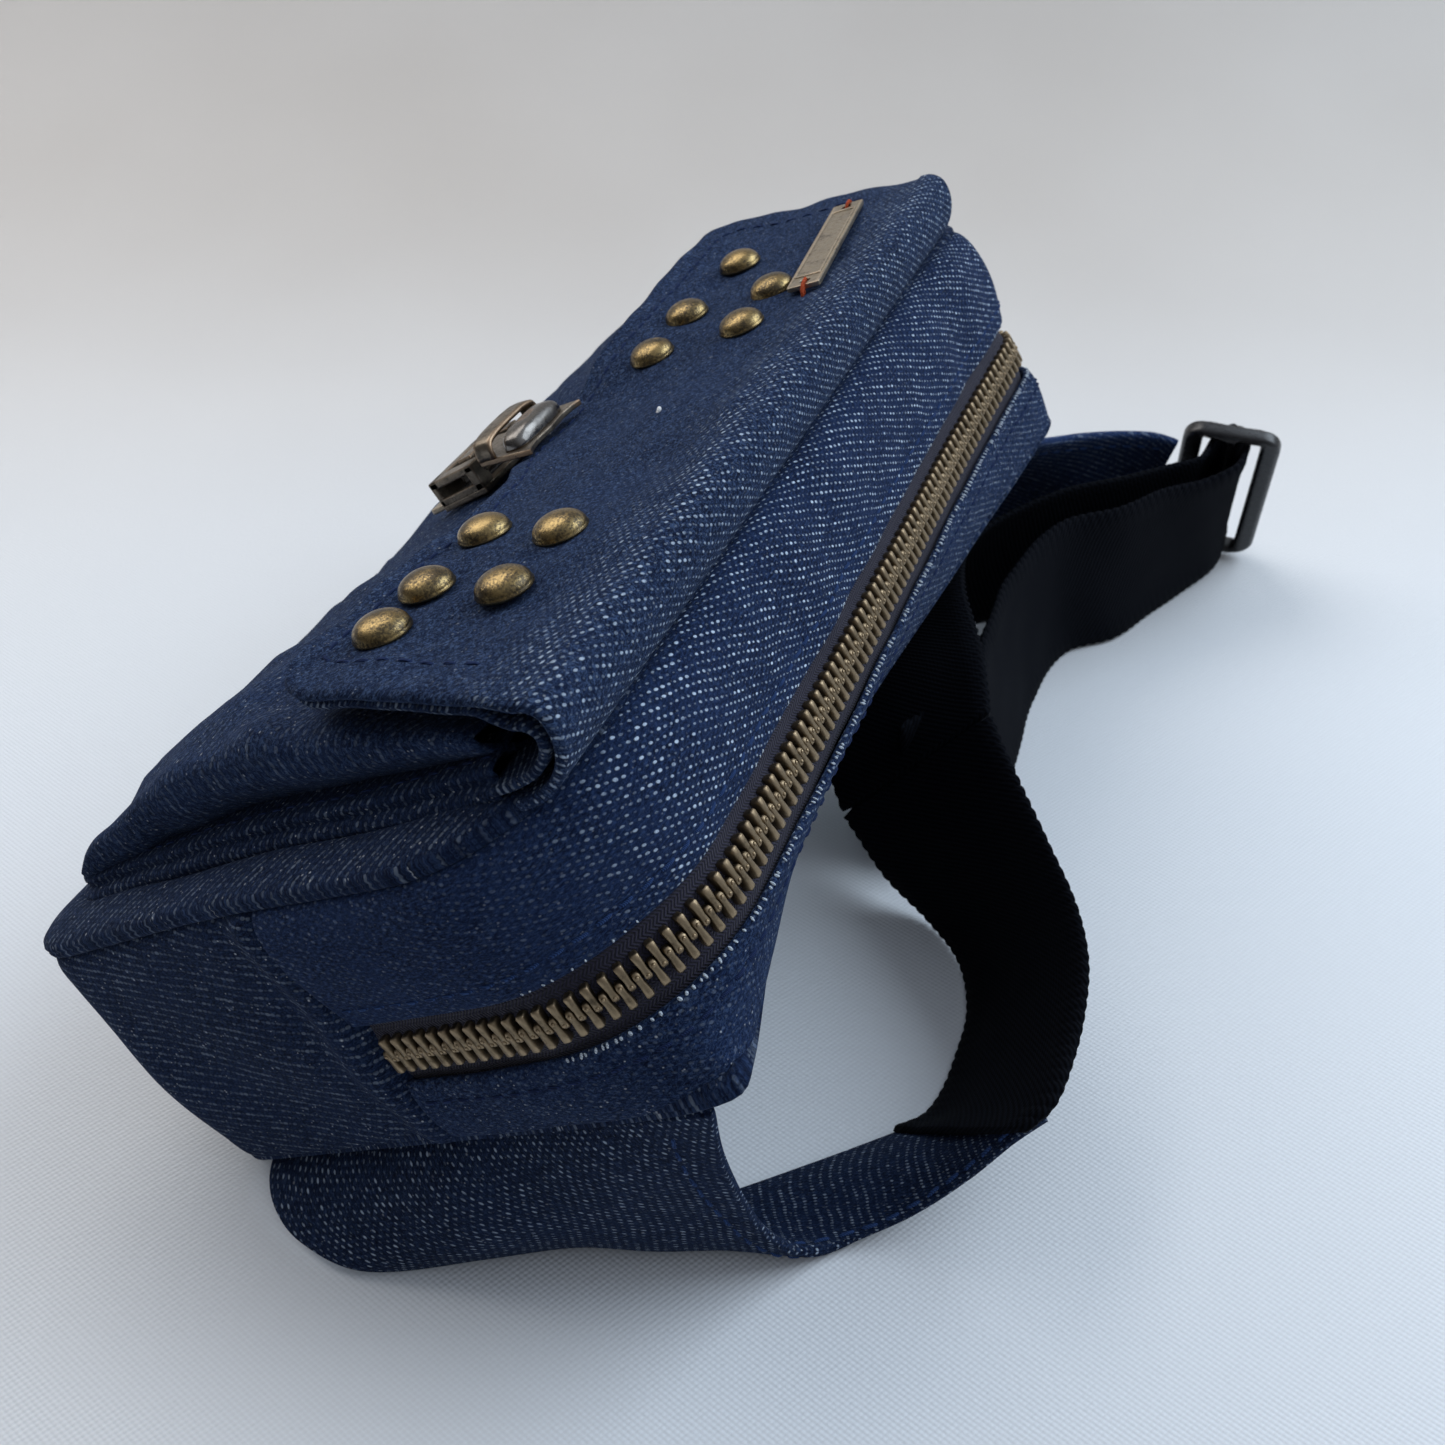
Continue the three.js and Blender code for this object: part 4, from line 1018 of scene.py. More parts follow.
stitch_s = np.linspace(0.6, ZIP_RUN - 0.6, 700)
line = band_line(stitch_s, 29.2, FRONT_BAND)
stitches("zip_topstitch_front", *line, MATS["blue"], "bag", seed=2)
line = band_line(stitch_s, 10.0, BACK_BAND)
stitches("zip_topstitch_back", *line, MATS["navy"], "bag", seed=3)
weft_s = np.linspace(NEAR_STRAIGHT + 4, ZIP_RUN - 6, 900)
line = band_line(weft_s, 13.2, BACK_BAND)
weft_ends("zip_hem_weft_back", *line, step=1.15, radius=0.26, seed=15, keep=0.75)
line = band_line(weft_s, 25.7, FRONT_BAND)
weft_ends("zip_hem_weft_front", *line, step=1.6, radius=0.20, seed=16, keep=0.35)

# slider and pull tab on the far end
SLIDER_AT = np.array([WIDTH, ZIP_Y, BAND_END + 8.2])
# blocks from SLIDER_AT: the face, its two side rails, and the loop on it
SLIDER = [
    ((1.3, -4.5, -5.4), (2.6, 4.5, 5.4)),
    ((-0.2, -4.6, -4.4), (1.6, -3.4, 4.4)),
    ((-0.2, 3.4, -4.4), (1.6, 4.6, 4.4)),
    ((2.4, -0.9, 2.9), (5.9, 0.9, 4.3)),
    ((2.4, -0.9, -4.3), (5.9, 0.9, -2.9)),
    ((5.0, -0.9, -4.3), (6.2, 0.9, 4.3)),
]
boxes(
    "zip_slider_body", [(lo + SLIDER_AT, hi + SLIDER_AT) for lo, hi in SLIDER],
    MATS["stud"], "zip_slider", from_bag,
    bevel=0.3, segments=3, replaces=("zip_slider",),
)
TAB_R, TAB_END = 2.6, -20
tab_arc = [math.radians(a) for a in range(190, 360, 14)]
tab = [(-3, 0.9), (-TAB_R, TAB_END)]
tab += [(TAB_R * math.cos(a), TAB_END + TAB_R * math.sin(a)) for a in tab_arc]
tab += [(TAB_R, TAB_END), (3, 0.9)]
tab_hole = [(-1.6, -0.9), (-1.6, -6.4), (1.6, -6.4), (1.6, -0.9)]
outline_plate(
    "zip_pull_tab_plate", [tab, tab_hole], 1.1, 0.22,
    MATS["stud"], "zip_pull_tab",
    lambda v: from_bag(SLIDER_AT + [3.8, 0, 0] + v[:, [2, 0, 1]]), replaces=("zip_pull_tab",),
)

# ---------------------------------------------------------------------- pocket
POCKET_X0, POCKET_X1 = 10.0, WIDTH - 10
POCKET_Z0, POCKET_Z1 = 7.0, 105.0
POCKET_R = 9.0  # its two lower corners
POCKET_BASE = 48.2  # y where the pocket leaves the front panel
POCKET_BY_Z = [
    (7, 55.6), (16, 58.4), (30, 61.2), (46, 63.2), (58, 63.9),
    (68, 63.0), (80, 60.8), (92, 58.9), (105, 56.9),
]
POCKET_SWELL_BY_X = [(10, 4.4), (50, 2.6), (98, 0), (140, 1.2), (186.5, 2.2)]


def pocket_y(x, z):
    swell = lookup(x, POCKET_SWELL_BY_X)
    return lookup(z, POCKET_BY_Z) + swell * np.sin(np.pi * np.clip((z - 7) / 110, 0, 1))


def u_ring(inset, count=260):
    """U-shaped line down the near side, along the bottom and up the far side."""

    def stretches(x0, x1, z0, r):
        up, arc = POCKET_Z1 - z0 - r, math.pi / 2 * r
        return [up, arc, x1 - x0 - 2 * r, arc, up]

    r = max(POCKET_R - inset, 0.0)
    x0, x1, z0 = POCKET_X0 + inset, POCKET_X1 - inset, POCKET_Z0 + inset
    runs = stretches(x0, x1, z0, r)
    whole = stretches(POCKET_X0, POCKET_X1, POCKET_Z0, POCKET_R)
    share = np.linspace(0, 1, count)
    cuts = np.cumsum([0] + whole) / sum(whole)
    x, z, nx, nz = (np.zeros(count) for _ in range(4))
    for k in range(5):
        m = (share >= cuts[k] - 1e-12) & (share <= cuts[k + 1] + 1e-12)
        t = (share[m] - cuts[k]) / (cuts[k + 1] - cuts[k])
        if k == 0:
            x[m], z[m], nx[m], nz[m] = x0, POCKET_Z1 - t * runs[0], -1, 0
        elif k == 2:
            x[m], z[m], nx[m], nz[m] = x0 + r + t * runs[2], z0, 0, -1
        elif k == 4:
            x[m], z[m], nx[m], nz[m] = x1, z0 + r + t * runs[4], 1, 0
        else:
            start, cx = (math.pi, x0 + r) if k == 1 else (1.5 * math.pi, x1 - r)
            a = start + t * math.pi / 2
            nx[m], nz[m] = np.cos(a), np.sin(a)
            x[m], z[m] = cx + r * nx[m], z0 + r + r * nz[m]
    return x, z, nx, nz


# (inset, share of the way from the front panel to the pocket's face)
POCKET_SIDE = [
    (8.5, 0.20), (7.2, 0.26), (5.0, 0.40), (2.2, 0.56), (0.3, 0.72),
    (-0.1, 0.84), (0.9, 0.94), (3.2, 0.99), (7.0, 1.0),
]
POCKET_INSETS = (10, 14, 19, 25, 32, 40, 49, 58, 68, 78, 87.9)


def pocket_grid():
    """Grid and cloth coordinates of the pocket, from its middle outwards."""
    profile = [tuple(p) for p in spline(POCKET_SIDE, 26)] + [(d, 1.0) for d in POCKET_INSETS]
    profile = profile[::-1]
    rows, uvs = [], []
    arc = 0.0
    for inset, share in profile:
        x, z, nx, nz = u_ring(max(inset, 0.0))
        side = np.abs(nx) ** 0.6
        if inset < 9:
            # along the bottom the bellows is shallow
            x2, z2, _, _ = u_ring(max(min(inset, 2.2), 0.0))
            x, z = x * side + x2 * (1 - side), z * side + z2 * (1 - side)
        face = pocket_y(np.clip(x, POCKET_X0, POCKET_X1), z)
        row = np.stack([x, POCKET_BASE + (face - POCKET_BASE) * share, z], -1)
        if inset > 3.2:
            flat_uv = np.stack([x, z], -1)
            uvs.append(flat_uv)
        else:
            arc += float(np.linalg.norm(row - rows[-1], axis=1).mean())
            uvs.append(flat_uv + np.stack([nx, nz], -1) * arc)
        rows.append(row)
    grid = np.array(rows)
    insets = np.array([p[0] for p in profile])[:, None]
    bumps = wobble(grid, 0.85, 30, 41) * ease(0, 8, insets) + wobble(grid, 0.4, 15, 42)
    x, z = grid[..., 0], grid[..., 2]
    fold = np.exp(-((x - 24 - 0.25 * (z - 40)) ** 2) / 60) * np.exp(-((z - 40) ** 2) / 900)
    grid[..., 1] += bumps + 1.2 * fold * ease(2, 10, insets)
    return grid, np.array(uvs)


grid, uv = pocket_grid()
cloth(
    "pocket_cloth", grid, 1.1, 1, MATS["pocket"], uv=uv,
    replaces=("pocket_front", "pocket_gusset"),
)

# binding round the pocket's foot: (outward offset, y)
BINDING = [
    (-5.5, 47.9), (-0.5, 48.0), (1.0, 48.4), (1.7, 49.4), (1.5, 50.4), (0.5, 50.9),
    (-0.3, 51.1), (0.1, 51.7), (0.0, 52.5), (-1.2, 53.0), (-5, 53.2), (-8.0, 53.6),
]
x, z, nx, nz = u_ring(0.0, 420)
side = np.abs(nx) ** 0.6
rows = []
for offset, y in spline(BINDING, 34):
    out = offset * (side + (1 - side) * 0.7)
    rows.append(np.stack([x + nx * out, np.full_like(x, y), z + nz * out], -1))
binding = np.array(rows)
d = wobble(binding, 0.18, 18, 51)
binding[..., 0] += nx * d
binding[..., 2] += nz * d
binding[..., 1] += wobble(binding, 0.09, 25, 52)
binding = front_puff(binding)
cloth("pocket_binding_cloth", binding, 0.6, -1, MATS["end"], ("pocket_binding",))
for k, row in ((1, 11), (2, 24)):
    stitches(
        "pocket_topstitch_%d" % k, binding[row],
        facing_out(grid_normals(binding)[row], nx, nz), MATS["navy"], "bag", seed=60 + k,
        length=2.4, gap=0.8, radius=0.24, lift=0.05,
    )

# ------------------------------------------------------------------------ flap
FLAP_TOP, FLAP_Y = 119.8, 60.3
FLAP_SIDE = 8  # from the bag's ends to the flap
smooth_x = np.linspace(0, WIDTH, 400)
kernel = np.exp(-(np.linspace(-3.4, 3.4, 41) ** 2))
kernel /= kernel.sum()


def softened(stations):
    """Smoothed reading of a table of (x, value)."""
    padded = np.pad(lookup(smooth_x, stations), 20, mode="edge")
    values = np.convolve(padded, kernel, mode="valid")
    return lambda x: np.interp(x, smooth_x, values)


flap_slope = softened([
    (8, 0.30), (30, 0.275), (50, 0.24), (66, 0.20), (78, 0.165), (90, 0.14),
    (104, 0.14), (118, 0.18), (140, 0.215), (160, 0.235), (188, 0.27),
])
flap_curl = softened([
    (8, 0.010), (20, 0.014), (60, 0.010), (76, 0.004), (88, 0),
    (108, 0), (126, 0.018), (160, 0.026), (188, 0.01),
])
flap_edge_z = softened([
    (8, 78), (26, 79), (60, 79.2), (76, 77), (86, 71.5), (92, 69.5),
    (104, 69.5), (114, 72), (132, 75), (150, 75), (188, 75.5),
])


def flap_y(x, z):
    drop = FLAP_TOP - z
    return FLAP_Y + flap_slope(x) * drop + flap_curl(x) * np.maximum(0, drop - 33) ** 2


def flap_sheet(depth, inset, root):
    """Grid from the seam, over the roll, to the free edge; root rows are (y, z)."""
    count = 150
    t = np.linspace(0, 1, count)
    x0, x1 = FLAP_SIDE + inset, WIDTH - FLAP_SIDE - inset
    rows = []
    for y, z in spline(root, 30):
        rows.append(np.stack([x0 + (x1 - x0) * t, np.full(count, y), np.full(count, z)], -1))
    for v in np.r_[np.linspace(0.02, 0.72, 26), np.linspace(0.74, 1, 24)]:
        q = max(0.0, (v - 0.80) / 0.20)
        corner = 9.0 * (1 - math.sqrt(max(0.0, 1 - q * q * 0.998)))
        left = x0 + 3.5 * v + corner
        right = x1 - 6.5 * v - corner
        x = left + (right - left) * t
        row_z = z - v * (z - (flap_edge_z(x) + inset))
        k = ease(0, 0.12, v)
        row_y = (flap_y(x, row_z) - depth) * k + (y + (z - row_z) * 0.30) * (1 - k)
        rows.append(np.stack([x, row_y, row_z], -1))
    return np.array(rows)


OUTER_ROOT = [
    (46.9, 107.5), (47.3, 111.5), (48.6, 115.0), (51.2, 118.3),
    (55.0, 120.3), (58.6, 120.3), (60.5, 118.6), (61.1, 116.6),
]
INNER_ROOT = [
    (49.6, 104.5), (49.9, 109.5), (50.9, 113.6), (53.0, 116.6),
    (55.8, 117.6), (57.8, 116.4), (58.6, 114.6),
]
flap_grid = flap_sheet(0.0, 0.0, OUTER_ROOT)
ripple = wobble(flap_grid, 0.42, 26, 71) + wobble(flap_grid, 0.16, 9, 72)
flap_grid[30:, :, 1] += ripple[30:]
flap_v = np.broadcast_to(-run_length(flap_grid[:, 75])[:, None], flap_grid.shape[:2])
flap = cloth(
    "flap_cloth", flap_grid, 1.5, 1, MATS["flap"], ("flap_outer", "flap_root"),
    body=None, uv=np.stack([flap_grid[..., 0], flap_v], -1),
)
lining_grid = flap_sheet(1.75, 0.35, INNER_ROOT)
lining_grid[30:, :, 1] += ripple[30:]
flap_lining = cloth(
    "flap_lining_cloth", lining_grid, 1.3, 1, MATS["inner"], ("flap_lining",),
    body=None, uv=np.stack([lining_grid[..., 0], flap_v], -1),
)
for ob, start, end in (
    (flap, [98, 49.8, 118.5], [98, 60.4, 118.5]),
    (flap_lining, [98, 50.6, 116.5], [98, 58.0, 116.5]),
):
    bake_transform(ob)


def on_flap(x, z, lift):
    """Point above the flap's face, and the normal there."""
    e = 0.6
    x, z = float(x), float(z)
    tx = np.array([2 * e, flap_y(x + e, z) - flap_y(x - e, z), 0])
    tz = np.array([0, flap_y(x, z + e) - flap_y(x, z - e), 2 * e])
    normal = unit(np.cross(tz, tx))
    return np.array([x, float(flap_y(x, z)), z]) + normal * lift, normal


def flap_frame(x, z, lift, turn=0.0):
    """Origin and axes (across, up, out) of a part lying on the flap."""
    p, normal = on_flap(x, z, lift)
    t = unit(np.array([1.0, 0, 0]) - normal * normal[0])
    across = t * math.cos(turn) + np.cross(normal, t) * math.sin(turn)
    return p, (across, np.cross(across, normal), normal)


# topstitching inside the flap's side and free edges
path = np.vstack([flap_grid[36:71, 6], flap_grid[72, 9:-9], flap_grid[36:71, -7][::-1]])
path = spline(path[::3], 600)
normals = np.array([on_flap(p[0], p[2], 0)[1] for p in path])
stitches("flap_topstitch", path, normals, MATS["navy"], "flap", seed=9, radius=0.27, lift=0.08)

# (x, z) of each stud
STUDS = [
    (24.5, 88.5), (36, 88.2), (52.5, 87.6), (34, 102), (49.5, 102.4),
    (119, 84.5), (134.5, 85.5), (156, 88.6), (122, 101.7), (137, 102.3),
]
# (radius, height) from under the crown to the rim below
STUD_PROFILE = [
    (4.1 * math.sin(a), 0.25 + 2.6 * math.cos(a) ** 0.95) for a in np.linspace(0.1, 1.52, 18)
] + [(4.24, 0.2), (4.16, -0.1), (3.6, -0.4)]
STUD_TOP, STUD_FOOT, STUD_SIDES = 2.86, -0.4, 40


def stud(number, x, z):
    p, normal = on_flap(x, z, 0.25)
    t = unit(np.cross(normal, [0.3, 0.1, 1.0]))
    b = np.cross(normal, t)
    verts = []
    for r, h in STUD_PROFILE:
        for a in turns(STUD_SIDES):
            verts.append(p + t * r * math.cos(a) + b * r * math.sin(a) + normal * h)
    top = len(verts)
    verts += [p + normal * STUD_TOP, p + normal * STUD_FOOT]
    faces = tube_faces(len(STUD_PROFILE), STUD_SIDES, capped=False)
    last = top - STUD_SIDES
    for i in range(STUD_SIDES):
        j = (i + 1) % STUD_SIDES
        faces += [(top, j, i), (top + 1, last + i, last + j)]
    piece(
        "stud_%02d_cap" % number, from_bag(np.array(verts)), faces,
        MATS["stud"], "flap", replaces=("stud_%d" % number,),
    )


for k, (x, z) in enumerate(STUDS):
    stud(k + 1, x, z)

# blank name plate, with a hole and a thread tie at each end
TIE_X = 19.8
on_plate = placed(from_bag, *flap_frame(153.2, 108.2, 0.75, math.radians(6.8)))
plate_loops = [rounded_rect(44, 6.3, 0.5)]
for cx in (TIE_X, -TIE_X):
    plate_loops.append([(cx + math.cos(t), math.sin(t)) for t in turns(20)])
outline_plate(
    "name_plate_body", plate_loops, 0.9, 0.16, MATS["plate"], "flap",
    on_plate, shift=(0, 0, 0.45), replaces=("name_plate",),
)
outline_plate(
    "name_plate_frame", [rounded_rect(35.4, 5.2, 0.4), rounded_rect(34.4, 4.3, 0.3)], 0.3, 0.1,
    MATS["plate"], "flap", on_plate, shift=(0, 0, 0.95),
)
# one strand: (x, share of the strand's spread, y, height)
TIE = [
    (TIE_X, 1, -0.2, 0.2), (20.3, 1, 0.2, 1.15), (21.0, 1.4, 0.3, 1.3),
    (22.2, 1.8, 0.2, 1.0), (23.1, 2, 0.1, 0.1), (23.4, 2, 0, -0.8),
]
for k, sign in enumerate((-1, 1)):
    verts, faces = [], []
    for spread in (-0.36, 0.0, 0.36):
        points = [(sign * a + spread * share, b, h) for a, share, b, h in TIE]
        strand, strand_faces = tube(points, 0.30)
        faces += [tuple(i + len(verts) for i in f) for f in strand_faces]
        verts += list(strand)
    piece(
        "name_plate_tie_%d" % (k + 1), on_plate(np.array(verts)), faces,
        MATS["orange"], "flap", replaces=("name_plate_thread_%d" % (k + 1),),
    )

p, axes = flap_frame(92.5, 97.5, 0.05)
LINT = np.array([(-0.7, 0, 0.15), (-0.2, 0.35, 0.6), (0.3, 0.1, 0.6), (0.7, -0.4, 0.2)])
verts, faces = tube(p + LINT @ np.array(axes), 0.36)
piece("flap_lint", from_bag(verts), faces, MATS["lint"], "flap")

# ------------------------------------------------------------------ press lock
LOCK_X = 96.5
on_catch = placed(from_bag, *flap_frame(LOCK_X, 72, 1.05))
CATCH = [
    (-9.6, 2.9), (-7.6, 2.0), (-5, 1.6), (0, 2.0), (5, 1.6), (7.6, 2.0), (9.6, 2.9),
    (9.3, -1), (8.7, -9), (3.7, -9.4), (3.6, -12.4), (-3.6, -12.4), (-3.7, -9.4),
    (-8.7, -9), (-9.3, -1),
]
outline_plate(
    "lock_catch_base", [CATCH], 1.1, 0.28, MATS["lock"], "flap",
    on_catch, shift=(0, 0, 0.55), replaces=("lock_catch_plate",),
)

# oblong dome
DOME_RINGS, DOME_SIDES = 19, 40
verts = []
for i in range(DOME_RINGS):
    rise = math.pi / 2 * i / (DOME_RINGS - 1)
    shrink = signed_power(math.cos(rise), 0.55)
    height = 1.0 + 3.1 * signed_power(math.sin(rise), 0.8)
    for t in turns(DOME_SIDES):
        across = 8.0 * shrink * signed_power(math.cos(t), 0.62)
        up = -1.9 + 2.95 * shrink * signed_power(math.sin(t), 0.62)
        verts.append((across, up, height))
piece(
    "lock_cabochon_dome", on_catch(np.array(verts)), tube_faces(DOME_RINGS, DOME_SIDES),
    MATS["cabochon"], "flap", replaces=("lock_cabochon",),
)

# arch across the catch: (across, height)
ARCH = [
    (-9.0, 1.0), (-8.9, 2.6), (-8.2, 3.9), (-6.5, 4.5), (0, 4.8),
    (6.5, 4.5), (8.2, 3.9), (8.9, 2.6), (9.0, 1.0),
]
widths = np.linspace(-8.9, -5.5, 8)
grid = np.array([
    [(a, b, h + 0.12 * math.cos((b + 7.2) / 1.7 * 1.5)) for b in widths]
    for a, h in spline(ARCH, 40)
])
verts, faces, _ = slab(grid, 1.0, -1, arc_uv(grid))
piece(
    "lock_bridge_arch", on_catch(verts), faces,
    MATS["lock"], "flap", replaces=("lock_bridge",),
)


def on_receiver(v):
    """From the receiver's own frame: across, up, outwards."""
    return from_bag(np.array([LOCK_X, 65.0, 50.2]) + v[:, [0, 2, 1]])


# floor, two side lips, bottom wall, two end posts, and a roof in three parts
RECEIVER = [
    ((-8.8, 0.0, 0.0), (8.8, 11.0, 1.3)),
    ((-8.8, 0.0, 0.9), (-7.9, 11.0, 2.5)),
    ((7.9, 0.0, 0.9), (8.8, 11.0, 2.5)),
    ((-8.8, 0.0, 0.9), (8.8, 1.3, 5.0)),
    ((-8.8, 9.0, 0.9), (-5.2, 11.0, 5.9)),
    ((5.2, 9.0, 0.9), (8.8, 11.0, 5.9)),
    ((-8.8, 0.0, 4.4), (-5.1, 11.0, 5.9)),
    ((5.1, 0.0, 4.4), (8.8, 11.0, 5.9)),
    ((-8.8, 0.0, 4.4), (8.8, 2.2, 5.9)),
]
boxes(
    "lock_receiver_case", RECEIVER, MATS["lock"], "bag", on_receiver,
    bevel=0.35, segments=3, replaces=("lock_receiver",),
)
boxes(
    "lock_receiver_well", [((-7.7, 1.5, 1.35), (7.7, 8.8, 1.75))],
    MATS["plastic"], "bag", on_receiver, bevel=0.1, segments=1,
)
boxes(
    "lock_release_bar", [((-3.8, 4.5, 2.0), (3.8, 7.7, 6.3))],
    MATS["lock"], "release_button", on_receiver,
    bevel=0.5, segments=3, replaces=("lock_release_button",),
)
outline_plate(
    "lock_base_strap", [rounded_rect(11, 6.2, 0.8)], 1.0, 0.25, MATS["plate"], "bag",
    on_receiver, shift=(0, -3.4, 0.3), replaces=("lock_base_tab",),
)

# ------------------------------------------------------- belt wings and webbing
WING_THICK = 1.9
WING_TOP_Z, WING_BOTTOM_Z, WING_Y, WING_INSET = 105.0, 9.0, -2.6, 5


def wing_root(x):
    """Lower and upper corner of a wing where it leaves the back of the bag."""
    return lean((x, WING_Y, WING_BOTTOM_Z)), lean((x, WING_Y, WING_TOP_Z))


def ribbon_uv(grid):
    """Cloth coordinates (mm) that keep their scale where the ribbon narrows."""
    middle = grid.shape[1] // 2
    u = run_length(grid[:, middle])
    widths = np.linalg.norm(np.diff(grid, axis=1), axis=2)
    v = np.concatenate([np.zeros((len(grid), 1)), np.cumsum(widths, axis=1)], 1)
    v -= v[:, middle][:, None]
    return np.stack([np.repeat(u[:, None], grid.shape[1], 1), v], -1)


def ribbon_grid(stations, count, across):
    """Ruled sheet between the two edges given by stations of point pairs."""
    low = spline([p[0] for p in stations], count)
    high = spline([p[1] for p in stations], count)
    t = np.linspace(0, 1, across + 1)[None, :, None]
    return low[:, None] * (1 - t) + high[:, None] * t


def wing_grid(stations, count, across, amp, wave, seed):
    grid = ribbon_grid(stations, count, across)
    belly = np.sin(np.pi * np.linspace(0, 1, across + 1))[None, :]
    return grid + grid_normals(grid) * (wobble(grid, amp, wave, seed) * belly)[..., None]


def wing_stitches(side, grid, column, seed):
    """A row of stitches on both faces of a wing, along one column of its grid."""
    line, normals = grid[6:-2, column], grid_normals(grid)[6:-2, column]
    for k, (face, sign, depth) in enumerate((("out", -1, 0), ("in", 1, WING_THICK))):
        stitches(
            "wing_%s_topstitch_%s" % (side, face), line + normals * depth, normals * sign,
            MATS["blue"], side + "_belt", seed=seed + k,
            length=3.0, gap=1.1, radius=0.33, to=from_floor,
        )


def webbing(side, stations, count, seed):
    """Strap with scalloped, corded edges."""
    grid = ribbon_grid(stations, count, 14)
    scallop = np.abs(np.sin(np.pi * run_length(grid[:, 7]) / 2.4)) ** 0.7
    across = grid[:, -1] - grid[:, 0]
    across /= np.linalg.norm(across, axis=1, keepdims=True)
    grid[:, -1] += across * (0.55 * scallop)[:, None]
    grid[:, 0] -= across * (0.55 * scallop)[:, None]
    grid = grid + grid_normals(grid) * wobble(grid, 0.12, 14, seed)[..., None]
    cord = np.zeros(grid.shape[:2])
    cord[:, [0, -1]] = 0.05
    cord[:, [1, -2]] = 0.28
    depth = 0.75 + cord * (0.4 + 0.6 * scallop)[:, None]
    face = grid - grid_normals(grid) * depth[..., None]
    verts, faces, uv = slab(face, 1.5, 1, arc_uv(grid), rim=0.55)
    verts[:, 2] = np.maximum(verts[:, 2], 0.15)
    piece(
        "webbing_%s_strap" % side, from_floor(verts), faces, MATS["web"],
        side + "_belt", uv, replaces=("webbing_" + side,),
    )


# stations in the floor frame: (lower edge, upper edge)
NEAR_WING = [
    wing_root(WING_INSET),
    ((-1, -11.5, 2.6), (8, -88.5, 42)),
    ((-5, -15.5, 2), (12, -90.5, 25)),
    ((-7.5, -21, 1.6), (15.6, -94.0, 11.5)),
    ((-8, -31, 1.5), (19.3, -98.8, 4.0)),
    ((5, -55, 1.5), (23.8, -105.0, 2.4)),
    ((21, -78, 1.5), (28.6, -112.6, 5.2)),
    ((36, -95, 1.6), (33.8, -120.9, 14.6)),
    ((50, -110.5, 2.6), (38.5, -129.5, 29.5)),
]
NEAR_STRAP = [
    ((46.2, -106.6, 2.9), (36.4, -127.6, 27.5)),
    ((52.5, -111.2, 1.5), (40.6, -130.8, 31)),
    ((70, -113, 1), (55, -132, 32)),
    ((80, -112, 1), (71, -130, 33.5)),
    ((91, -107, 1), (81.5, -125, 35)),
    ((98, -99, 1.5), (91, -118, 38)),
    ((102, -89, 6), (101, -110.5, 40.5)),
    ((108, -78, 14), (113, -102.5, 43)),
]
FAR_STRAP = [
    ((108.6, -77.2, 14.8), (114.0, -102.0, 43.2)),
    ((122, -66, 25.5), (131, -96, 45)),
    ((140, -58, 25), (150, -88, 45)),
    ((163, -55, 16), (172, -84, 40)),
    ((186, -66, 3), (192, -86, 36)),
    ((206, -88, 1), (208, -98, 38)),
    ((222, -106, 1), (220, -112, 38.5)),
    ((239, -121, 1), (229, -121, 38.5)),
    ((250, -129, 2.6), (236, -128.5, 39)),
    ((258, -130.4, 4), (244, -130, 40.2)),
    ((262.6, -131, 4.4), (248.8, -131, 40.6)),
    ((265.4, -134.4, 4.4), (251.6, -134.4, 40.6)),
    ((262.6, -137.8, 4.4), (248.8, -137.8, 40.6)),
    ((258, -138.4, 4), (244, -138.2, 40.2)),
    ((248, -137.6, 2.6), (235, -137, 39)),
    ((234, -130.5, 1), (228, -131, 37.5)),
    ((221, -124, 1), (218, -121.5, 38)),
    ((208, -117.5, 1), (206, -113, 38)),
    ((198, -107.5, 1), (195, -102, 38)),
    ((176, -103.5, 1), (172, -95, 37)),
    ((146, -104.5, 1), (150, -94.5, 36)),
    ((128, -102.5, 1), (131, -95.5, 35)),
    ((112, -93, 1), (114, -86, 35)),
]
FAR_WING = [
    wing_root(WIDTH - WING_INSET),
    ((203, -16, 2), (203, -91, 53)),
    ((212, -32, 2), (213, -94, 49)),
    ((222, -54, 3), (223, -101, 46.5)),
    ((232, -78, 4), (230, -109, 45)),
    ((243, -98, 4), (235, -116.5, 43.5)),
    ((252, -113, 3), (238.5, -121.5, 41)),
]

grid = wing_grid(NEAR_WING, 150, 40, amp=0.5, wave=28, seed=81)
grid[..., 2] = np.maximum(grid[..., 2], 1.3)
verts, faces, uv = slab(grid, WING_THICK, 1, ribbon_uv(grid))
verts[:, 2] = np.maximum(verts[:, 2], 0.25)
wing_near = piece(
    "wing_near_cloth", from_floor(verts), faces, [MATS["wing"], MATS["wing_inner"]],
    "near_belt", uv, replaces=("wing_near",),
)
# the grid's own face takes the second cloth
face_count = (grid.shape[0] - 1) * (grid.shape[1] - 1)
indices = [1] * face_count + [0] * (len(faces) - face_count)
wing_near.data.polygons.foreach_set("material_index", indices)
wing_stitches("near", grid, 37, seed=91)

webbing("near", NEAR_STRAP, 330, seed=101)
webbing("far", FAR_STRAP, 920, seed=102)

grid = wing_grid(FAR_WING, 90, 36, amp=0.6, wave=30, seed=83)
grid -= grid_normals(grid) * (WING_THICK / 2)
verts, faces, uv = slab(grid, WING_THICK, 1, ribbon_uv(grid))
piece(
    "wing_far_cloth", from_floor(verts), faces, MATS["wing_far"],
    "far_belt", uv, replaces=("wing_far",),
)
wing_stitches("far", grid, 33, seed=93)

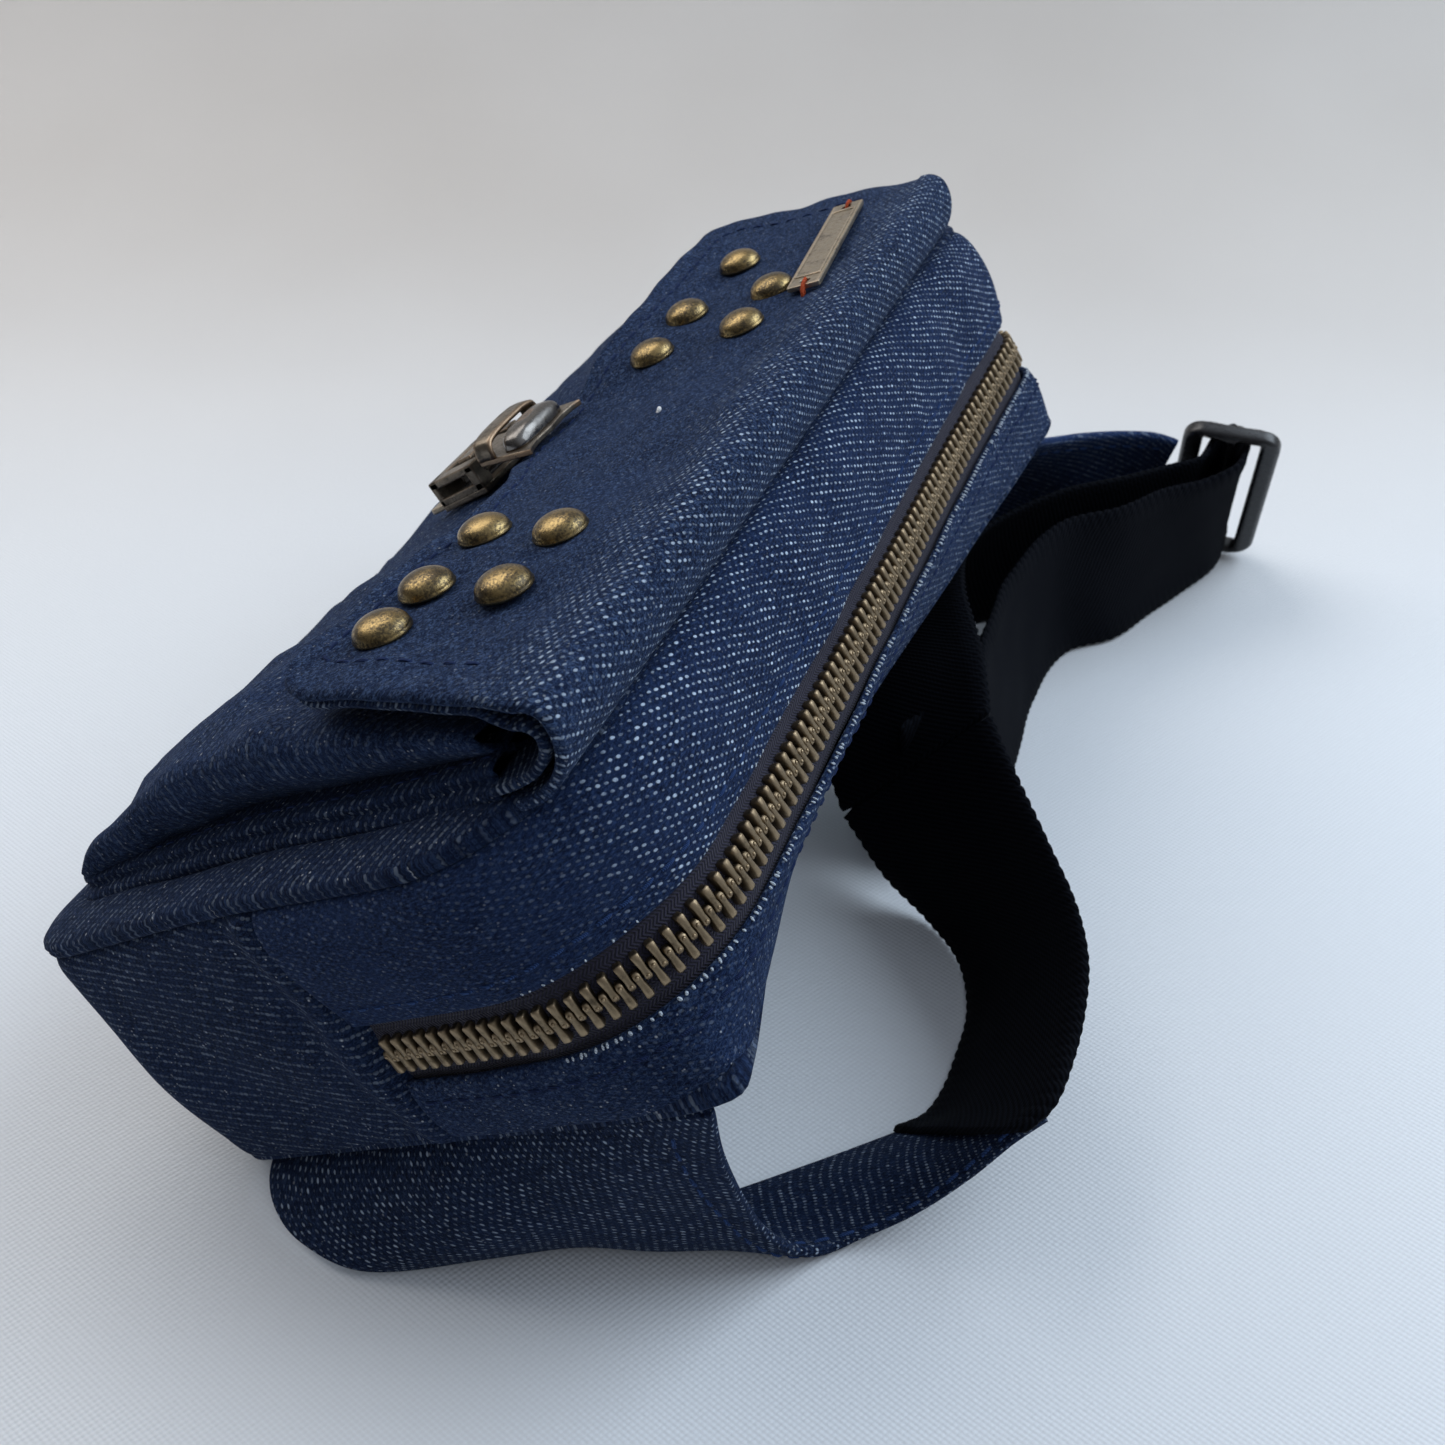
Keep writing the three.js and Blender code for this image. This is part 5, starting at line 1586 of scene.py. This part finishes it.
# adjuster: a slightly bowed frame with two slots
long_axis = unit(np.array([-14, 0, 36.6]))
cross_axis = np.array([0, -1.0, 0])
adjuster_axes = (long_axis, cross_axis, np.cross(long_axis, cross_axis))
on_adjuster = placed(from_floor, np.array([250.5, -134.4, 23]), adjuster_axes)


def bowed(v):
    v = v.copy()
    v[:, 2] += 0.5 * (v[:, 1] / 10) ** 2
    return on_adjuster(v)


adjuster_loops = [rounded_rect(46.0, 23.6, 5.0, 8)]
adjuster_loops += [rounded_rect(41.6, 5.4, 1.2, 4, cy) for cy in (4.3, -4.3)]
outline_plate(
    "adjuster_frame", adjuster_loops, 4.6, 1.5, MATS["plastic"], "adjuster",
    bowed, replaces=("adjuster",), steps=4, smooth=True,
)

# a loose thread end on the front seam
THREAD_END = [(28.2, 48.6, 38.8), (28.6, 49.3, 39.6), (28.7, 49.4, 41.0), (28.3, 48.9, 42.4)]
verts, faces = tube(THREAD_END, 0.42)
piece("seam_thread_end", from_bag(verts), faces, MATS["pink"], "bag")

# CAD nodes that stay
for node in ("lock_back_plate", "lock_spring"):
    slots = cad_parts[node].data.materials
    slots.clear()
    slots.append(MATS["steel"])

# ----------------------------------------------------------------------- stage
CAMERA_AT = np.array([-102.39, -131.20, 220.83])  # floor frame
look = unit(np.array([0.713, 0.274, -0.645]))
right = unit(np.array([0.359, -0.933, 0.0]))
up = np.cross(right, look)
right = np.cross(look, up)


def floor_material():
    n = material("floor_weave")
    axes = n.xyz(n.uv())
    u, v = axes[0], axes[1]
    weave = n.math("MULTIPLY", n.wave(u, period=1.35), n.wave(v, period=1.05))
    fine = n.noise(n.uv(), 0.9)
    broad = n.noise(n.uv(), 0.006)
    # painted light and shade: pale blue near the camera where the bluish window light falls, darker
    # and warmer further away and up the sweep
    away = n.range(v, (200, 580))
    colour = n.mix(away, (0.71, 0.745, 0.785), (0.49, 0.455, 0.42))
    colour = n.mix(n.range(weave, (-1, 1), to=(0, 0.20)), colour, (0.50, 0.51, 0.53))
    colour = n.mix(n.range(broad, (0.3, 0.7), to=(0, 0.12)), colour, (0.80, 0.80, 0.80))
    height = n.math("MULTIPLY_ADD", weave, 0.7, fine)
    return n.surface(
        Base_Color=colour,
        Roughness=0.62,
        Normal=n.bump(height, distance=0.00012, strength=0.55),
        Specular_IOR_Level=0.25,
    )


# The floor runs away from the camera, then sweeps up to a slope of 62 degrees.
FLOOR_START, FLOOR_BEND, FLOOR_SLOPE = -700.0, 420.0, 62
FLOOR_Z = -0.336
away, sideways = unit(look * [1, 1, 0]), unit(right * [1, 1, 0])
profile = [(FLOOR_START, 0.0), (0, 0), (FLOOR_BEND, 0)]
bend = [(angle, 14) for angle in np.linspace(0, FLOOR_SLOPE, 24)]
for angle, step in bend + [(FLOOR_SLOPE, 100)] * 10:
    d, z = profile[-1]
    angle = math.radians(angle)
    profile.append((d + step * math.cos(angle), z + step * math.sin(angle)))
verts, uv = [], []
lateral = np.linspace(-1500, 1500, 31)
for (d, z), run in zip(profile, run_length(np.array(profile))):
    for q in lateral:
        verts.append(CAMERA_AT * [1, 1, 0] + away * d + sideways * q + [0, 0, z + FLOOR_Z])
        uv.append((q, run + FLOOR_START))
faces = grid_faces(len(profile), len(lateral), flip=True)
floor_mesh = new_mesh("floor", from_floor(verts), faces, [floor_material()], uv)
new_object("floor", floor_mesh)

# soft sky, brightest high up towards +x and -y
SKY = [
    (0.25, (0.09, 0.09, 0.10)),
    (0.55, (0.26, 0.268, 0.285)),
    (0.82, (0.62, 0.67, 0.75)),
    (1.0, (0.95, 1.03, 1.15)),
]
world = bpy.data.worlds.new("soft_daylight")
bpy.context.scene.world = world
n = Nodes(world, "OutputWorld")
aim = {0: n.node("TexCoord").outputs["Generated"], 1: tuple(unit(np.array([0.50, -0.30, 0.81])))}
facing = n.node("VectorMath", aim, operation="DOT_PRODUCT").outputs["Value"]
sky = n.ramp(n.range(facing, (-1, 1), curve="LINEAR"), SKY)
background = n.node("Background", {"Color": sky, "Strength": 0.74})
n.put(n.output.inputs[0], background.outputs[0])


def area(name, offset, size, power, colour):
    """Rectangular light aimed at the middle of the bag; offset and size in metres."""
    target = from_floor([100, -50, 50])
    light = bpy.data.lights.new(name, "AREA")
    light.shape = "RECTANGLE"
    light.size, light.size_y = size
    light.energy = power
    light.color = colour
    ob = new_object(name, light)
    ob.location = tuple(target + np.array(offset))
    direction = Vector(target) - Vector(target + np.array(offset))
    ob.rotation_euler = direction.to_track_quat("-Z", "Y").to_euler()


area("window", offset=(0.50, -0.60, 0.75), size=(0.9, 0.7), power=8.0, colour=(0.76, 0.88, 1.0))
area("fill_left", offset=(0.30, 0.75, 0.75), size=(1.0, 1.0), power=9.5, colour=(1.0, 0.96, 0.92))

lens = bpy.data.cameras.new("camera")
lens.sensor_width = 36
lens.lens = 36.124567
lens.clip_start = 0.01
camera = new_object("camera", lens)
rotation = Matrix(np.column_stack([right, up, -look]).tolist())
camera.matrix_world = Matrix.Translation(Vector(from_floor(CAMERA_AT))) @ rotation.to_4x4()
lens.dof.use_dof = True
lens.dof.focus_distance = 0.205
lens.dof.aperture_fstop = 48
bpy.context.scene.camera = camera
bpy.context.scene.view_settings.view_transform = "Standard"
